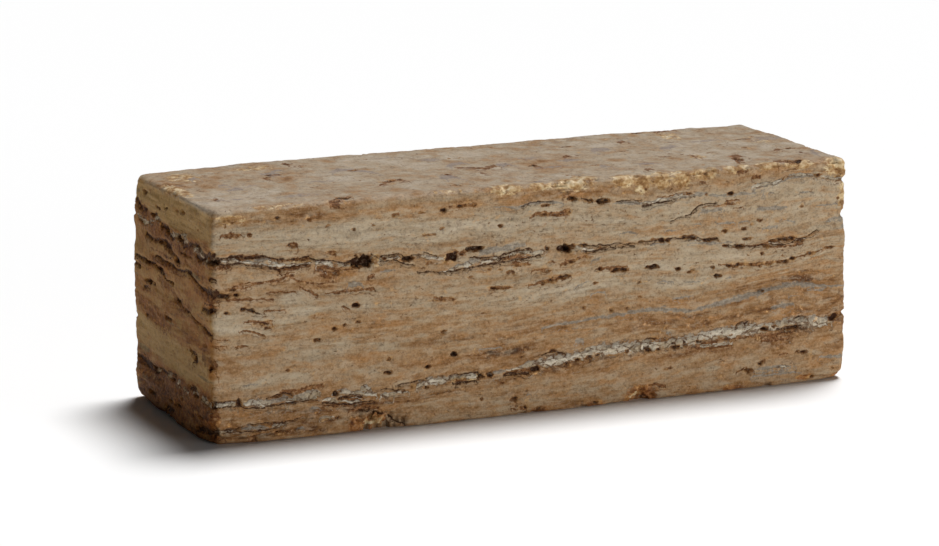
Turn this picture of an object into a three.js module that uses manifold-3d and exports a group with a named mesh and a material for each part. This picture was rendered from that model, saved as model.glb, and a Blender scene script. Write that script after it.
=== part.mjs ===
// A sawn and tumbled walling block of banded travertine, lying on its sawn bed.
// Millimetres, +Z up. The origin is the middle of the underside, and the bedding runs along X.
//
// Places in the stone are told as a mason would: "along" from the left end, "back" from the
// front face, and "up" from the underside.

import * as THREE from 'three';
import { mergeVertices } from 'three/addons/utils/BufferGeometryUtils.js';
import Module from 'manifold-3d';

// ---- Driving dimensions ----------------------------------------------------------------------

const LENGTH = 600;
const DEPTH = 195;
const HEIGHT = 200;
const END_LEAN = 2.5; // each end leans in by this much from the base to the top

const EDGE_RADIUS = 7; // rounding of the tumbled edges
const EDGE_VARIATION = 3; // how much that rounding comes and goes
const EDGE_LINES = [0, 4.5, 12]; // lattice lines over a rounded edge, measured in from it

const COLUMNS_ALONG = 38; // lattice cells along the block
const COLUMNS_BACK = 12; // lattice cells from front to back

// Unevenness of the faces: its height, its length along the bedding and its rise across it
const LUMPS = { height: 1.9, length: 70, rise: 16, seed: 0 };
const RIPPLES = { height: 0.7, length: 24, rise: 11, seed: 5 };
const SAWN_MARGIN = 0.2; // what the saw left uneven everywhere
const SAWN_MIDDLE = 0.45; // the share of the top bed's length and depth that no wear has reached

// Seams are open in some places and filled in others
const SEAM_GAPS = { length: 21, rise: 60, seed: 3 };
const SEAM_OPEN = 0.55;
const SEAM_SWING = 0.75;

// Rough hollows: how uneven, and how many lumps across
const HOLLOW_UNEVENNESS = 0.22;
const HOLLOW_LUMPS = 1.7;

const STONE_COLOUR = 0xa18a6c;
const STONE_ROUGHNESS = 0.86;

// ---- Smooth noise through the solid ----------------------------------------------------------

function hash(x, y, z) {
  const value = Math.sin(x * 127.1 + y * 311.7 + z * 74.7) * 43758.5453;
  return value - Math.floor(value);
}

function smooth(t) {
  return t * t * (3 - 2 * t);
}

// From -1 to 1, with one lump for each unit of x, y and z
function noise(x, y, z) {
  const [cellX, cellY, cellZ] = [Math.floor(x), Math.floor(y), Math.floor(z)];
  const [shareX, shareY, shareZ] = [smooth(x - cellX), smooth(y - cellY), smooth(z - cellZ)];
  let sum = 0;
  for (const cornerX of [0, 1]) {
    for (const cornerY of [0, 1]) {
      for (const cornerZ of [0, 1]) {
        const weightX = cornerX ? shareX : 1 - shareX;
        const weightY = cornerY ? shareY : 1 - shareY;
        const weightZ = cornerZ ? shareZ : 1 - shareZ;
        sum += weightX * weightY * weightZ * hash(cellX + cornerX, cellY + cornerY, cellZ + cornerZ);
      }
    }
  }
  return 2 * sum - 1;
}

// Noise drawn out along the bedding
function bandedNoise({ length, rise, seed }, along, back, up) {
  return noise(along / length + seed, back / length, up / rise);
}

// ---- Bedding seams ---------------------------------------------------------------------------

// The height at one place on a line of [place, height] points
function heightOn(points, place) {
  const next = points.findIndex(([pointPlace]) => pointPlace >= place);
  if (next === 0) return points[0][1];
  if (next < 0) return points[points.length - 1][1];
  const [fromPlace, fromHeight] = points[next - 1];
  const [toPlace, toHeight] = points[next];
  return THREE.MathUtils.mapLinear(place, fromPlace, toPlace, fromHeight, toHeight);
}

// A seam through the solid. It meets the front face on one line and the left end on another.
// Away from both, all seams wander up and down together, and each a little on its own.
const WANDER = 4;
const OWN_WANDER = 1;
const WANDER_LENGTH = 90;
const WANDER_START = 50;

function seam(frontLine, leftLine, seed) {
  return (along, back) => {
    const dip = heightOn(leftLine, back) - leftLine[0][1];
    const inside = THREE.MathUtils.clamp(Math.min(along, back) / WANDER_START, 0, 1);
    const [x, y] = [along / WANDER_LENGTH, back / WANDER_LENGTH];
    const wander = WANDER * noise(x, y, 0.5) + OWN_WANDER * noise(x, y, seed + 0.5);
    return heightOn(frontLine, along) + dip + inside * wander;
  };
}

// The upper crust of calcite, the strongest line round the block
const upperCrust = seam(
  [[0, 157], [30, 155], [60, 151], [130, 147], [165, 151], [190, 147], [250, 138], [290, 141],
    [400, 141], [450, 140], [480, 131], [540, 131], [600, 136]],
  [[0, 157], [50, 163], [110, 165], [170, 162], [195, 167]],
  11,
);

// The lower crust, thin at the left end and a broad white band at the right
const lowerCrust = seam(
  [[0, 37], [40, 34], [100, 34], [160, 32], [200, 37], [240, 36], [300, 44], [400, 49],
    [450, 49], [475, 55], [540, 54], [600, 58]],
  [[0, 37], [60, 36], [120, 39], [195, 36]],
  23,
);

// A line of small holes through the middle of the bed
const holeLine = seam(
  [[0, 118], [110, 116], [255, 113], [320, 115], [360, 121], [400, 118], [440, 113], [510, 111],
    [545, 114], [580, 121], [600, 120]],
  [[0, 118], [60, 109], [120, 106], [195, 112]],
  37,
);

// A fine seam just under the top bed
const topSeam = seam(
  [[0, 184], [255, 184], [300, 183], [325, 186], [360, 180], [400, 176], [440, 179], [490, 178],
    [540, 186], [600, 181]],
  [[0, 184], [80, 186], [195, 182]],
  41,
);

// A faint seam just above the base
const baseSeam = seam(
  [[0, 14], [45, 14], [80, 17], [120, 15], [220, 20], [340, 16], [470, 20], [600, 18]],
  [[0, 14], [90, 18], [195, 15]],
  53,
);

const underside = () => 0;
const topBed = () => HEIGHT;

// ---- The lattice: rows that follow the seams -------------------------------------------------

// A row runs round the block at an offset from a seam, weathered back by its recess
function row(follows, offset = 0, recess = 0) {
  return { height: (along, back) => follows(along, back) + offset, recess };
}

// Evenly spaced rows between two seams, kept clear of both
function rowsBetween(lower, upper, count, margin) {
  return Array.from({ length: count }, (_, index) => {
    const share = (index + 0.5) / count;
    const height = (along, back) => THREE.MathUtils.lerp(
      lower(along, back) + margin,
      upper(along, back) - margin,
      share,
    );
    return { height, recess: 0 };
  });
}

const ROWS = [
  row(underside),
  row(underside, EDGE_LINES[1]),
  row(baseSeam, 0, 2.2),
  row(baseSeam, 4),
  row(lowerCrust, -8),
  row(lowerCrust, -4, 4.4),
  row(lowerCrust, 0.5, 1.2),
  row(lowerCrust, 4.5, 5),
  row(lowerCrust, 8.5),
  ...rowsBetween(lowerCrust, holeLine, 1, 9),
  row(holeLine, -4),
  row(holeLine, 0, 3.4),
  row(holeLine, 4),
  row(upperCrust, -8),
  row(upperCrust, -4, 4.8),
  row(upperCrust, 0, 1),
  row(upperCrust, 4, 4.8),
  row(upperCrust, 8),
  row(topSeam, -3.5),
  row(topSeam, 0, 3.2),
  row(topSeam, 3.5),
  row(topBed, -EDGE_LINES[1]),
  row(topBed),
];

// Lattice places across one side: close together over the worn edges, even in between
function latticePlace(index, count, size) {
  const last = EDGE_LINES.length - 1;
  if (index <= last) return EDGE_LINES[index];
  if (count - index <= last) return size - EDGE_LINES[count - index];
  return THREE.MathUtils.mapLinear(index, last, count - last, EDGE_LINES[last], size - EDGE_LINES[last]);
}

// ---- Wear ------------------------------------------------------------------------------------

// Corners and edges that are rounded more than the rest: centre, reach and extra radius
const WORN = [
  { at: [0, 60, 0], reach: [90, 150, 40], extra: 7 }, // base of the left end
  { at: [0, DEPTH, HEIGHT], reach: [60, 50, 40], extra: 8 }, // top corner behind the left end
  { at: [LENGTH, 0, HEIGHT], reach: [60, 40, 40], extra: 3 }, // top corner of the right end
  { at: [LENGTH, DEPTH, HEIGHT], reach: [50, 50, 40], extra: 5 },
  { at: [LENGTH, DEPTH, 0], reach: [50, 50, 40], extra: 5 },
];

function edgeRadius(along, back, up) {
  let radius = EDGE_RADIUS + EDGE_VARIATION * noise(along / 38, back / 38, up / 38 + 7);
  for (const { at, reach, extra } of WORN) {
    const away = Math.hypot(
      (along - at[0]) / reach[0],
      (back - at[1]) / reach[1],
      (up - at[2]) / reach[2],
    );
    radius += extra * smooth(Math.max(0, 1 - away));
  }
  return radius;
}

// The share of full wear: none under the block or in the middle of its top, all of it elsewhere
function wearShare(along, back, up) {
  if (up === 0) return 0;
  if (up < HEIGHT) return 1;
  const outward = 2 * Math.max(Math.abs(along / LENGTH - 0.5), Math.abs(back / DEPTH - 0.5));
  return smooth(THREE.MathUtils.clamp((outward - SAWN_MIDDLE) / (1 - SAWN_MIDDLE), 0, 1));
}

// How far the surface lies behind the saw's plane, which nothing stands out of
function relief(along, back, up, recess) {
  const broad = LUMPS.height * bandedNoise(LUMPS, along, back, up);
  const fine = RIPPLES.height * bandedNoise(RIPPLES, along, back, up);
  const open = SEAM_OPEN + SEAM_SWING * bandedNoise(SEAM_GAPS, along, back, up);
  const depth = Math.max(0, SAWN_MARGIN - broad - fine);
  return wearShare(along, back, up) * (depth + recess * THREE.MathUtils.clamp(open, 0, 1));
}

// ---- Solids ----------------------------------------------------------------------------------

const wasm = await Module();
wasm.setup();

function solidFrom(geometry) {
  const bare = geometry.clone();
  bare.deleteAttribute('normal');
  bare.deleteAttribute('uv');
  const welded = mergeVertices(bare, 1e-3);
  return new wasm.Manifold(new wasm.Mesh({
    numProp: 3,
    vertProperties: new Float32Array(welded.attributes.position.array),
    triVerts: new Uint32Array(welded.index.array),
  }));
}

function geometryFrom(solid) {
  const mesh = solid.getMesh();
  const geometry = new THREE.BufferGeometry();
  geometry.setAttribute('position', new THREE.BufferAttribute(mesh.vertProperties, 3));
  geometry.setIndex(new THREE.BufferAttribute(mesh.triVerts, 1));
  geometry.computeVertexNormals();
  return geometry;
}

// From a place in the stone to the part's own frame, with the lean of the ends
function toFrame(along, back, up) {
  const lean = 1 - (2 * END_LEAN * up) / (HEIGHT * LENGTH);
  return new THREE.Vector3((along - LENGTH / 2) * lean, back - DEPTH / 2, up);
}

// The worn surface: a lattice over the box, drawn in to rounded edges, then moved in and out
function wornBlock() {
  const rowCount = ROWS.length - 1;
  const geometry = new THREE.BoxGeometry(1, 1, 1, COLUMNS_ALONG, COLUMNS_BACK, rowCount);
  const { position } = geometry.attributes;
  for (let i = 0; i < position.count; i += 1) {
    const indexAlong = Math.round((position.getX(i) + 0.5) * COLUMNS_ALONG);
    const indexBack = Math.round((position.getY(i) + 0.5) * COLUMNS_BACK);
    const { height, recess } = ROWS[Math.round((position.getZ(i) + 0.5) * rowCount)];

    const along = latticePlace(indexAlong, COLUMNS_ALONG, LENGTH);
    const back = latticePlace(indexBack, COLUMNS_BACK, DEPTH);
    const up = height(along, back);

    const radius = edgeRadius(along, back, up);
    const inner = new THREE.Vector3(
      THREE.MathUtils.clamp(along, radius, LENGTH - radius),
      THREE.MathUtils.clamp(back, radius, DEPTH - radius),
      THREE.MathUtils.clamp(up, radius, HEIGHT - radius),
    );
    const outward = new THREE.Vector3(along, back, up).sub(inner).normalize();
    const place = inner.addScaledVector(outward, radius - relief(along, back, up, recess));
    position.setXYZ(i, ...toFrame(...place));
  }
  return solidFrom(geometry);
}

// ---- Pits and breaks -------------------------------------------------------------------------

// A rough hollow at a place in the stone, with its half sizes along, back and up
function hollow(along, back, up, halfSizes, detail = 0) {
  const geometry = new THREE.IcosahedronGeometry(1, detail);
  const { position } = geometry.attributes;
  const centre = toFrame(along, back, up);
  for (let i = 0; i < position.count; i += 1) {
    const point = new THREE.Vector3().fromBufferAttribute(position, i);
    const lump = point.clone().multiplyScalar(HOLLOW_LUMPS).add(centre);
    const size = 1 + HOLLOW_UNEVENNESS * noise(...lump);
    point.multiplyScalar(size).multiply(new THREE.Vector3(...halfSizes));
    position.setXYZ(i, ...point.add(centre));
  }
  return solidFrom(geometry);
}

// Holes that open on the front face: along, up, half length, half height, depth
const FRONT_PITS = [
  [132, 148, 8, 5, 8], [176, 146, 7, 3, 5], [216, 144, 5, 4, 6], [236, 149, 8, 2.5, 5],
  [306, 144, 3.5, 3, 5], [324, 142, 10, 3.5, 8], [356, 140, 3.5, 3, 5], [416, 142, 3.5, 3, 4],
  [444, 141, 6, 2.5, 5], [492, 130, 8, 2.5, 4], [538, 130, 9, 3, 4],
  [330, 185, 4.5, 3.5, 5], [360, 180, 8, 3, 6], [484, 178, 4, 2.5, 4],
  [255, 113, 4.5, 3, 5], [302, 113, 4, 3, 5], [317, 116, 7, 3, 4], [376, 118, 7, 3, 5],
  [408, 118, 5, 3, 5], [433, 114, 4, 3, 4], [488, 113, 8, 3, 5], [514, 111, 6, 3, 4],
  [536, 111, 5, 2.5, 4], [563, 117, 4, 3, 5],
  [24, 36, 3, 5, 5], [111, 35, 4, 4.5, 5], [148, 33, 5, 3, 4], [244, 36, 4.5, 4.5, 6],
  [254, 38, 4, 4, 5], [295, 39, 5, 3.5, 5], [348, 44, 5, 3, 5], [407, 44, 5, 3, 4],
  [446, 45, 6, 3, 4], [518, 52, 5, 3, 5], [546, 51, 7, 3, 5], [588, 56, 5, 3.5, 5],
];

// Holes that open on the left end: back, up, half length, half height, depth
const LEFT_PITS = [
  [-1, 131, 5, 3.5, 5], [4, 117, 4, 3, 4], [76, 163, 8, 3, 5], [110, 165, 6, 3, 4],
  [44, 69, 6, 4, 4], [88, 143, 5, 2.5, 3], [85, 108, 8, 2.5, 4], [160, 128, 10, 2.5, 4],
  [4, 67, 4, 4, 4], [100, 37, 7, 3, 4], [150, 36, 6, 3, 4],
];

// Holes that open on the top bed: along, back, half length, half width, depth
const TOP_PITS = [
  [120, 9, 8, 5, 4], [190, 65, 8, 4, 4], [243, 70, 4, 4, 3], [330, 80, 5, 4, 4],
  [345, 9, 7, 5, 4], [133, 172, 6, 4, 4], [508, 32, 6, 8, 4], [548, 5, 9, 5, 4],
  [105, 130, 7, 5, 3], [430, 110, 6, 4, 4], [485, 186, 6, 5, 4], [560, 120, 7, 4, 3],
];

// Pieces broken off the edges: place and half sizes along, back and up
const BREAK_DETAIL = 1;
const BREAKS = [
  [[150, -7, 2], [25, 16, 19]],
  [[398, -8, -1], [19, 15, 16]],
  [[38, -6, 0], [8, 11, 9]],
  [[603, -3, 181], [9, 13, 5.5]],
  [[604, -3, 150], [10, 14, 7]],
  [[604, -3, 60], [9, 13, 6]],
  [[-3, 198, 165], [10, 13, 7]],
  [[268, -5, 203], [11, 13, 10]],
  [[322, -6, 204], [16, 15, 12]],
  [[388, -5, 204], [13, 13, 11]],
  [[455, -6, 204], [18, 15, 12]],
  [[585, -5, 204], [10, 13, 11]],
  [[597, 70, 205], [14, 22, 11]],
  [[600, 150, 204], [12, 17, 11]],
  [[-5, 120, -4], [16, 26, 18]],
  [[210, 202, 205], [24, 15, 13]],
  [[470, 201, -4], [26, 16, 16]],
];

// Holes scattered along the seams on the back and on the right end
const PITS_ON_BACK = 4;
const PITS_ON_RIGHT_END = 2;
const SCATTERED_SEAMS = [lowerCrust, holeLine, upperCrust];
const [SHORT_PIT, LONG_PIT, PIT_DEPTH, PIT_RISE] = [5, 10, 6, 4]; // half sizes

// One place for each equal share of a length, and a pit's half length there
function scatter(count, length, seed) {
  return Array.from({ length: count }, (_, n) => ({
    place: ((n + 0.2 + 0.6 * hash(n, seed, 1)) * length) / count,
    half: THREE.MathUtils.lerp(SHORT_PIT, LONG_PIT, hash(n, seed, 2)),
  }));
}

function scatteredPits() {
  return SCATTERED_SEAMS.flatMap((follows, seed) => [
    ...scatter(PITS_ON_BACK, LENGTH, seed).map(({ place, half }) => (
      hollow(place, DEPTH, follows(place, DEPTH), [half, PIT_DEPTH, PIT_RISE]))),
    ...scatter(PITS_ON_RIGHT_END, DEPTH, seed + 10).map(({ place, half }) => (
      hollow(LENGTH, place, follows(LENGTH, place), [PIT_DEPTH, half, PIT_RISE]))),
  ]);
}

function allHollows() {
  return [
    ...FRONT_PITS.map(([along, up, a, c, depth]) => hollow(along, 0, up, [a, depth, c])),
    ...LEFT_PITS.map(([back, up, b, c, depth]) => hollow(0, back, up, [depth, b, c])),
    ...TOP_PITS.map(([along, back, a, b, depth]) => hollow(along, back, HEIGHT, [a, b, depth])),
    ...BREAKS.map(([place, halfSizes]) => hollow(...place, halfSizes, BREAK_DETAIL)),
    ...scatteredPits(),
  ];
}

// ---- The block -------------------------------------------------------------------------------

function travertineBlock() {
  let stone = wornBlock();
  for (const pit of allHollows()) stone = stone.subtract(pit);
  const material = new THREE.MeshStandardMaterial({
    color: STONE_COLOUR,
    roughness: STONE_ROUGHNESS,
    metalness: 0,
    flatShading: true,
  });
  const block = new THREE.Mesh(geometryFrom(stone), material);
  block.name = 'travertine_block';
  return block;
}

const part = new THREE.Group();
part.add(travertineBlock());

export default part;
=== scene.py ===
"""A sawn and tumbled block of banded travertine on a pale floor, in soft studio light.

Places in the stone are in millimetres: "along" from the left end, "back" from the front face and
"up" from the underside. They become metres of the row's frame where the mesh is made.
"""

import math

import bpy
import numpy as np
from mathutils import Matrix, Vector


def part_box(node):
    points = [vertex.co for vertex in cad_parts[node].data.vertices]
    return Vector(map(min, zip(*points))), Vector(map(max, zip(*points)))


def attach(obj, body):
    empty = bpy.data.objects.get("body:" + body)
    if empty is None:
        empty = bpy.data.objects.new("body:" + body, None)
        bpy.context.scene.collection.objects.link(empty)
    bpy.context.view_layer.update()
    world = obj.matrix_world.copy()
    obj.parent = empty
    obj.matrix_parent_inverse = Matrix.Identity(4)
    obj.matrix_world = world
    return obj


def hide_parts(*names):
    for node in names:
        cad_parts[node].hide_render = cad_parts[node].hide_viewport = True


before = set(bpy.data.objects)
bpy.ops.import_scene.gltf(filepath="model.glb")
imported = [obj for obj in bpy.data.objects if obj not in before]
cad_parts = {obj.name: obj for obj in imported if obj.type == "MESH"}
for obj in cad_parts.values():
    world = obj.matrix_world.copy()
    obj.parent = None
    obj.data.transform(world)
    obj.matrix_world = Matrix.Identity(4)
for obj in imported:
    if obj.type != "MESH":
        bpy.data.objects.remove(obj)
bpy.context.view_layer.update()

# ---- Sizes -----------------------------------------------------------------------------------

MM = 0.001
NODE = "travertine_block"
LOW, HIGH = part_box(NODE)
LENGTH, DEPTH, HEIGHT = [(high - low) / MM for low, high in zip(LOW, HIGH)]
END_LEAN = 2.5  # each end leans in by this much from the base to the top

CELL = 1.25  # of the lattice that the surface is worked on
FACE_REACH = 14  # how far in from the front face and the left end their own strokes go

# ---- Tables as text --------------------------------------------------------------------------


def rows(*lines):
    """Rows of numbers, with spaces between the numbers and commas between the rows."""
    return [tuple(map(float, row.split())) for line in lines for row in line.split(",")]


def stroke_rows(*texts):
    """Strokes of rows, each in a text of its own."""
    return [rows(text) for text in texts]


# ---- Smooth noise through the solid ----------------------------------------------------------

HASH_TURNS = (127.1, 311.7, 74.7)
HASH_SCALE = 43758.5453


def hashed(place):
    """A number from 0 to 1 for each place, with no pattern that shows."""
    value = np.sin(sum(p * turn for p, turn in zip(place, HASH_TURNS))) * HASH_SCALE
    return value - np.floor(value)


def smooth(t):
    t = np.clip(t, 0, 1)
    return t * t * (3 - 2 * t)


def noise(x, y, z):
    """From -1 to 1, with one lump for each unit of x, y and z."""
    x, y, z = np.broadcast_arrays(x, y, z)
    cells = [np.floor(v) for v in (x, y, z)]
    shares = [smooth(v - cell) for v, cell in zip((x, y, z), cells)]
    total = 0
    for corner in np.ndindex(2, 2, 2):
        weight = 1
        for side, share in zip(corner, shares):
            weight = weight * (share if side else 1 - share)
        total = total + weight * hashed([cell + side for cell, side in zip(cells, corner)])
    return 2 * total - 1


def waves(places, height, length, rise, start=0, seed=0):
    """Noise of a height, with lumps of a length both along and back, and of a rise upwards."""
    along, back, up = places
    return height * noise(along / length + start, back / length, up / rise + seed)


# ---- Bedding seams ---------------------------------------------------------------------------

WANDER = 4
OWN_WANDER = 1
WANDER_LENGTH = 90
WANDER_START = 50


def on_line(line, place):
    return np.interp(place, *zip(*line))


def wander(along, back, seed):
    """How far a seam strays from its lines on the front face and the left end."""
    inside = np.clip(np.minimum(along, back) / WANDER_START, 0, 1)
    x, y = along / WANDER_LENGTH, back / WANDER_LENGTH
    return inside * (WANDER * noise(x, y, 0.5) + OWN_WANDER * noise(x, y, seed + 0.5))


class Seam:
    """A crust through the solid, between the lines where its two skins meet the front face."""

    def __init__(self, upper, lower, left_end, seed):
        self.upper, self.lower, self.left_end, self.seed = upper, lower, left_end, seed

    def skins(self, along, back):
        dip = on_line(self.left_end, back) - self.left_end[0][1]
        stray = dip + wander(along, back, self.seed)
        return on_line(self.lower, along) + stray, on_line(self.upper, along) + stray

    def middle(self, along, back):
        return sum(self.skins(along, back)) / 2


# Rows of along and up where a seam meets the front face, or of back and up at the left end
UPPER_CRUST = Seam(
    upper=rows(
        "0 160, 20 160, 40 158.5, 58 155, 85 155, 100 151, 120 149, 150 151, 165 154.5, 180 154.5",
        "192 150, 203 146, 228 147, 245 143, 262 138.5, 275 143.5, 285 145, 310 145, 335 144.5",
        "350 141.5, 400 141.5, 415 142.5, 450 142, 470 139.5, 478 132, 500 130, 540 134, 570 137.5",
        "600 138",
    ),
    lower=rows(
        "0 155.5, 20 154, 40 149, 60 147, 95 147, 122 143.5, 150 146, 165 147, 185 141, 200 140",
        "230 138, 250 135.5, 290 138.5, 310 139.5, 335 140, 350 140.5, 400 140.5, 440 139.5",
        "470 138, 478 130.5, 500 128.5, 540 130, 570 136, 600 137",
    ),
    left_end=rows("0 157, 50 163, 110 165, 170 162, 195 167"),
    seed=11,
)
LOWER_CRUST = Seam(
    upper=rows(
        "0 39, 22 38.5, 26 35, 32 37, 60 39.5, 75 37, 95 37, 105 39, 125 38, 150 36, 165 34",
        "182 33.5, 195 37, 222 40.5, 240 40, 260 42.5, 280 43, 297 47, 312 53, 335 49, 352 51",
        "360 54, 400 53, 406 55.5, 455 54, 465 58, 480 57.5, 500 61, 515 58, 550 60, 580 58.5",
        "600 60",
    ),
    lower=rows(
        "0 35, 22 35, 26 33, 32 31.5, 60 33.5, 75 32.5, 95 32, 105 29.5, 125 31, 150 31, 165 31",
        "182 32, 195 33.5, 222 35.5, 240 33, 260 36, 280 37, 297 39.5, 325 39, 345 43, 380 44",
        "400 45, 440 43, 460 51, 500 50, 545 50, 570 50, 590 56, 600 57",
    ),
    left_end=rows("0 37, 60 36, 120 39, 195 36"),
    seed=23,
)
HOLE_LINE = Seam(
    upper=rows(
        "0 118.4, 110 116.4, 255 113.4, 320 115.4, 360 121.4, 400 118.4, 440 113.4, 510 111.4",
        "545 114.4, 580 121.4, 600 120.4",
    ),
    lower=rows(
        "0 117.6, 110 115.6, 255 112.6, 320 114.6, 360 120.6, 400 117.6, 440 112.6, 510 110.6",
        "545 113.6, 580 120.6, 600 119.6",
    ),
    left_end=rows("0 118, 60 109, 120 106, 195 112"),
    seed=37,
)
TOP_SEAM = Seam(
    upper=rows(
        "0 184.2, 250 184.2, 265 184, 280 181.5, 290 185, 310 185, 325 187, 345 183, 368 181",
        "385 178, 400 176, 415 180, 425 178, 432 181, 465 182, 485 178, 510 183.5, 530 184",
        "537 188.5, 550 187, 570 187, 598 182",
    ),
    lower=rows(
        "0 183.8, 250 183.8, 265 181.5, 280 179, 290 182.5, 310 183, 325 185, 345 181, 368 179",
        "385 175.5, 400 174, 415 177.5, 425 176, 432 178.5, 465 179, 485 176.5, 510 181, 530 182",
        "537 187, 550 185.5, 570 185.5, 598 180",
    ),
    left_end=rows("0 184, 80 186, 195 182"),
    seed=41,
)
BASE_SEAM = Seam(
    upper=rows(
        "0 14, 30 14.5, 45 16.5, 60 14.5, 80 17.5, 120 15.5, 220 20.3, 340 16.3, 470 20.3",
        "600 18.3",
    ),
    lower=rows(
        "0 13.4, 30 13.5, 45 12, 60 13.5, 80 16.5, 120 14.5, 220 19.7, 340 15.7, 470 19.7",
        "600 17.7",
    ),
    left_end=rows("0 14, 90 18, 195 15"),
    seed=53,
)
GREY_BAND = Seam(
    upper=rows(
        "0 74, 270 72, 300 76, 320 78, 360 80, 400 83, 430 80, 445 77.5, 470 82, 500 86, 530 90.5",
        "545 92, 565 90, 600 86",
    ),
    lower=rows(
        "0 74, 270 72, 300 73, 320 74, 360 77, 400 79, 430 76, 445 74.5, 470 78, 500 82, 530 87.5",
        "545 88.5, 565 86.5, 600 84",
    ),
    left_end=rows("0 74, 100 70, 195 74"),
    seed=61,
)
SEAMS = [BASE_SEAM, LOWER_CRUST, GREY_BAND, HOLE_LINE, UPPER_CRUST, TOP_SEAM]


def bedding(places):
    """A height that is the same all along a bed, however the bed rises and falls."""
    along, back, up = places
    middles = [seam.middle(along, back) for seam in SEAMS]
    heights = [np.zeros_like(up), *middles, np.full_like(up, HEIGHT)]
    levels = [0, *[float(seam.middle(LENGTH / 2, 0)) for seam in SEAMS], HEIGHT]
    bed = np.zeros_like(up)
    for below, above, level, next_level in zip(heights, heights[1:], levels, levels[1:]):
        share = np.clip((up - below) / np.maximum(above - below, 1), 0, 1)
        bed += share * (next_level - level)
    return bed


# ---- The worked surface ----------------------------------------------------------------------

EDGE_RADIUS = 5
LEAST_RADIUS = 1
EDGE_SWELL = dict(height=2, length=38, rise=38, seed=7)
EDGE_NICKS = dict(height=1.2, length=9, rise=9)

# Corners and edges rounded more or less than the rest: centre, reach and extra radius
WORN = [
    ((0, DEPTH, 0), (70, 80, 36), 6),
    ((0, 110, 0), (30, 80, 20), -2),
    ((0, 0, 0), (50, 40, 30), 9),
    ((0, DEPTH, HEIGHT), (60, 50, 30), 4.5),
    ((0, DEPTH, 110), (30, 60, 110), -4.5),
    ((120, 0, HEIGHT), (260, 30, 30), 3),
    ((LENGTH / 2, 0, 0), (330, 40, 20), -2),
    ((LENGTH, 0, 0), (32, 30, 32), 5.5),
    ((LENGTH, 0, HEIGHT), (30, 30, 30), 2),
    ((LENGTH, DEPTH, HEIGHT), (60, 80, 40), 2.5),
    ((LENGTH, DEPTH, 0), (50, 50, 40), 5),
]

LUMPS = dict(height=1.9, length=70, rise=16)
RIPPLES = dict(height=0.7, length=24, rise=11, start=5)
LAYERS = dict(height=0.35, length=45, rise=2.2)
FINE_LAYERS = dict(height=0.3, length=14, rise=1.6, seed=9)
GRIT = dict(height=0.22, length=5, rise=4)
FINE_GRIT = dict(height=0.16, length=2.4, rise=2.2)

SAWN_MARGIN = 0.2  # lumps and ripples that rise above this were cut flat by the saw
RIDGE = 0.2  # how far layers may rise above the lumps and ripples
SET_OUT = 0.3  # how far the whole face stands out, so that it keeps its size when worn
SAWN_MIDDLE = 0.45  # the share of the top that stays nearly as it was sawn
SAWN_WEAR = 0.25  # and its wear, as a share of that at the edges


def box_lattice(sizes, cell):
    """Points over the surface of a box, shared where faces meet, and the quads between them."""
    counts = [max(4, round(size / cell)) for size in sizes]
    strides = np.array([1, counts[0] + 1, (counts[0] + 1) * (counts[1] + 1)])
    sides = []
    for axis in range(3):
        across, upward = [other for other in range(3) if other != axis]
        for end in (0, counts[axis]):
            index = np.zeros((counts[across] + 1, counts[upward] + 1, 3), dtype=np.int64)
            index[..., across] = np.arange(counts[across] + 1)[:, None]
            index[..., upward] = np.arange(counts[upward] + 1)[None, :]
            index[..., axis] = end
            code = index @ strides
            corners = [code[:-1, :-1], code[1:, :-1], code[1:, 1:], code[:-1, 1:]]
            quads = np.stack(corners, axis=-1).reshape(-1, 4)
            outward = (end > 0) != (axis == 1)
            sides.append(quads if outward else quads[:, ::-1])
    codes, quads = np.unique(np.concatenate(sides), return_inverse=True)
    steps = [codes // stride % (count + 1) for stride, count in zip(strides, counts)]
    places = [step * (size / count) for step, size, count in zip(steps, sizes, counts)]
    return np.array(places, dtype=float), quads.reshape(-1, 4)


def edge_radius(places):
    radius = EDGE_RADIUS + waves(places, **EDGE_SWELL)
    for centre, reach, extra in WORN:
        away = np.sqrt(sum(((p - c) / r) ** 2 for p, c, r in zip(places, centre, reach)))
        radius += extra * smooth(1 - away)
    return np.maximum(radius + waves(places, **EDGE_NICKS), LEAST_RADIUS)


def round_edges(places):
    """The places on the rounded block, and the way out of the stone at each."""
    radius = edge_radius(places)
    sizes = np.array([[LENGTH], [DEPTH], [HEIGHT]])
    inner = np.clip(places, radius, sizes - radius)
    outward = places - inner
    outward /= np.linalg.norm(outward, axis=0)
    return inner + outward * radius, outward


def wear_share(places):
    """None under the block, little in the middle of its top, and all of it elsewhere."""
    along, back, up = places
    outward = 2 * np.maximum(abs(along / LENGTH - 0.5), abs(back / DEPTH - 0.5))
    on_top = SAWN_WEAR + (1 - SAWN_WEAR) * smooth((outward - SAWN_MIDDLE) / (1 - SAWN_MIDDLE))
    return np.where(up <= 0, 0, np.where(up >= HEIGHT, on_top, 1))


def unevenness(places, lattice):
    """How far the face lies back from the saw's plane, without its seams, pits and breaks."""
    along, back, _ = places
    bedded = (along, back, bedding(places))
    hollows = SAWN_MARGIN - waves(places, **LUMPS) - waves(places, **RIPPLES)
    layers = waves(bedded, **LAYERS) + waves(bedded, **FINE_LAYERS)
    grit = waves(places, **GRIT) + waves(places, **FINE_GRIT)
    depth = np.maximum(0, hollows) + np.maximum(-RIDGE, layers) + grit - SET_OUT
    return wear_share(lattice) * depth


# ---- Seams, pits and breaks ------------------------------------------------------------------

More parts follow.
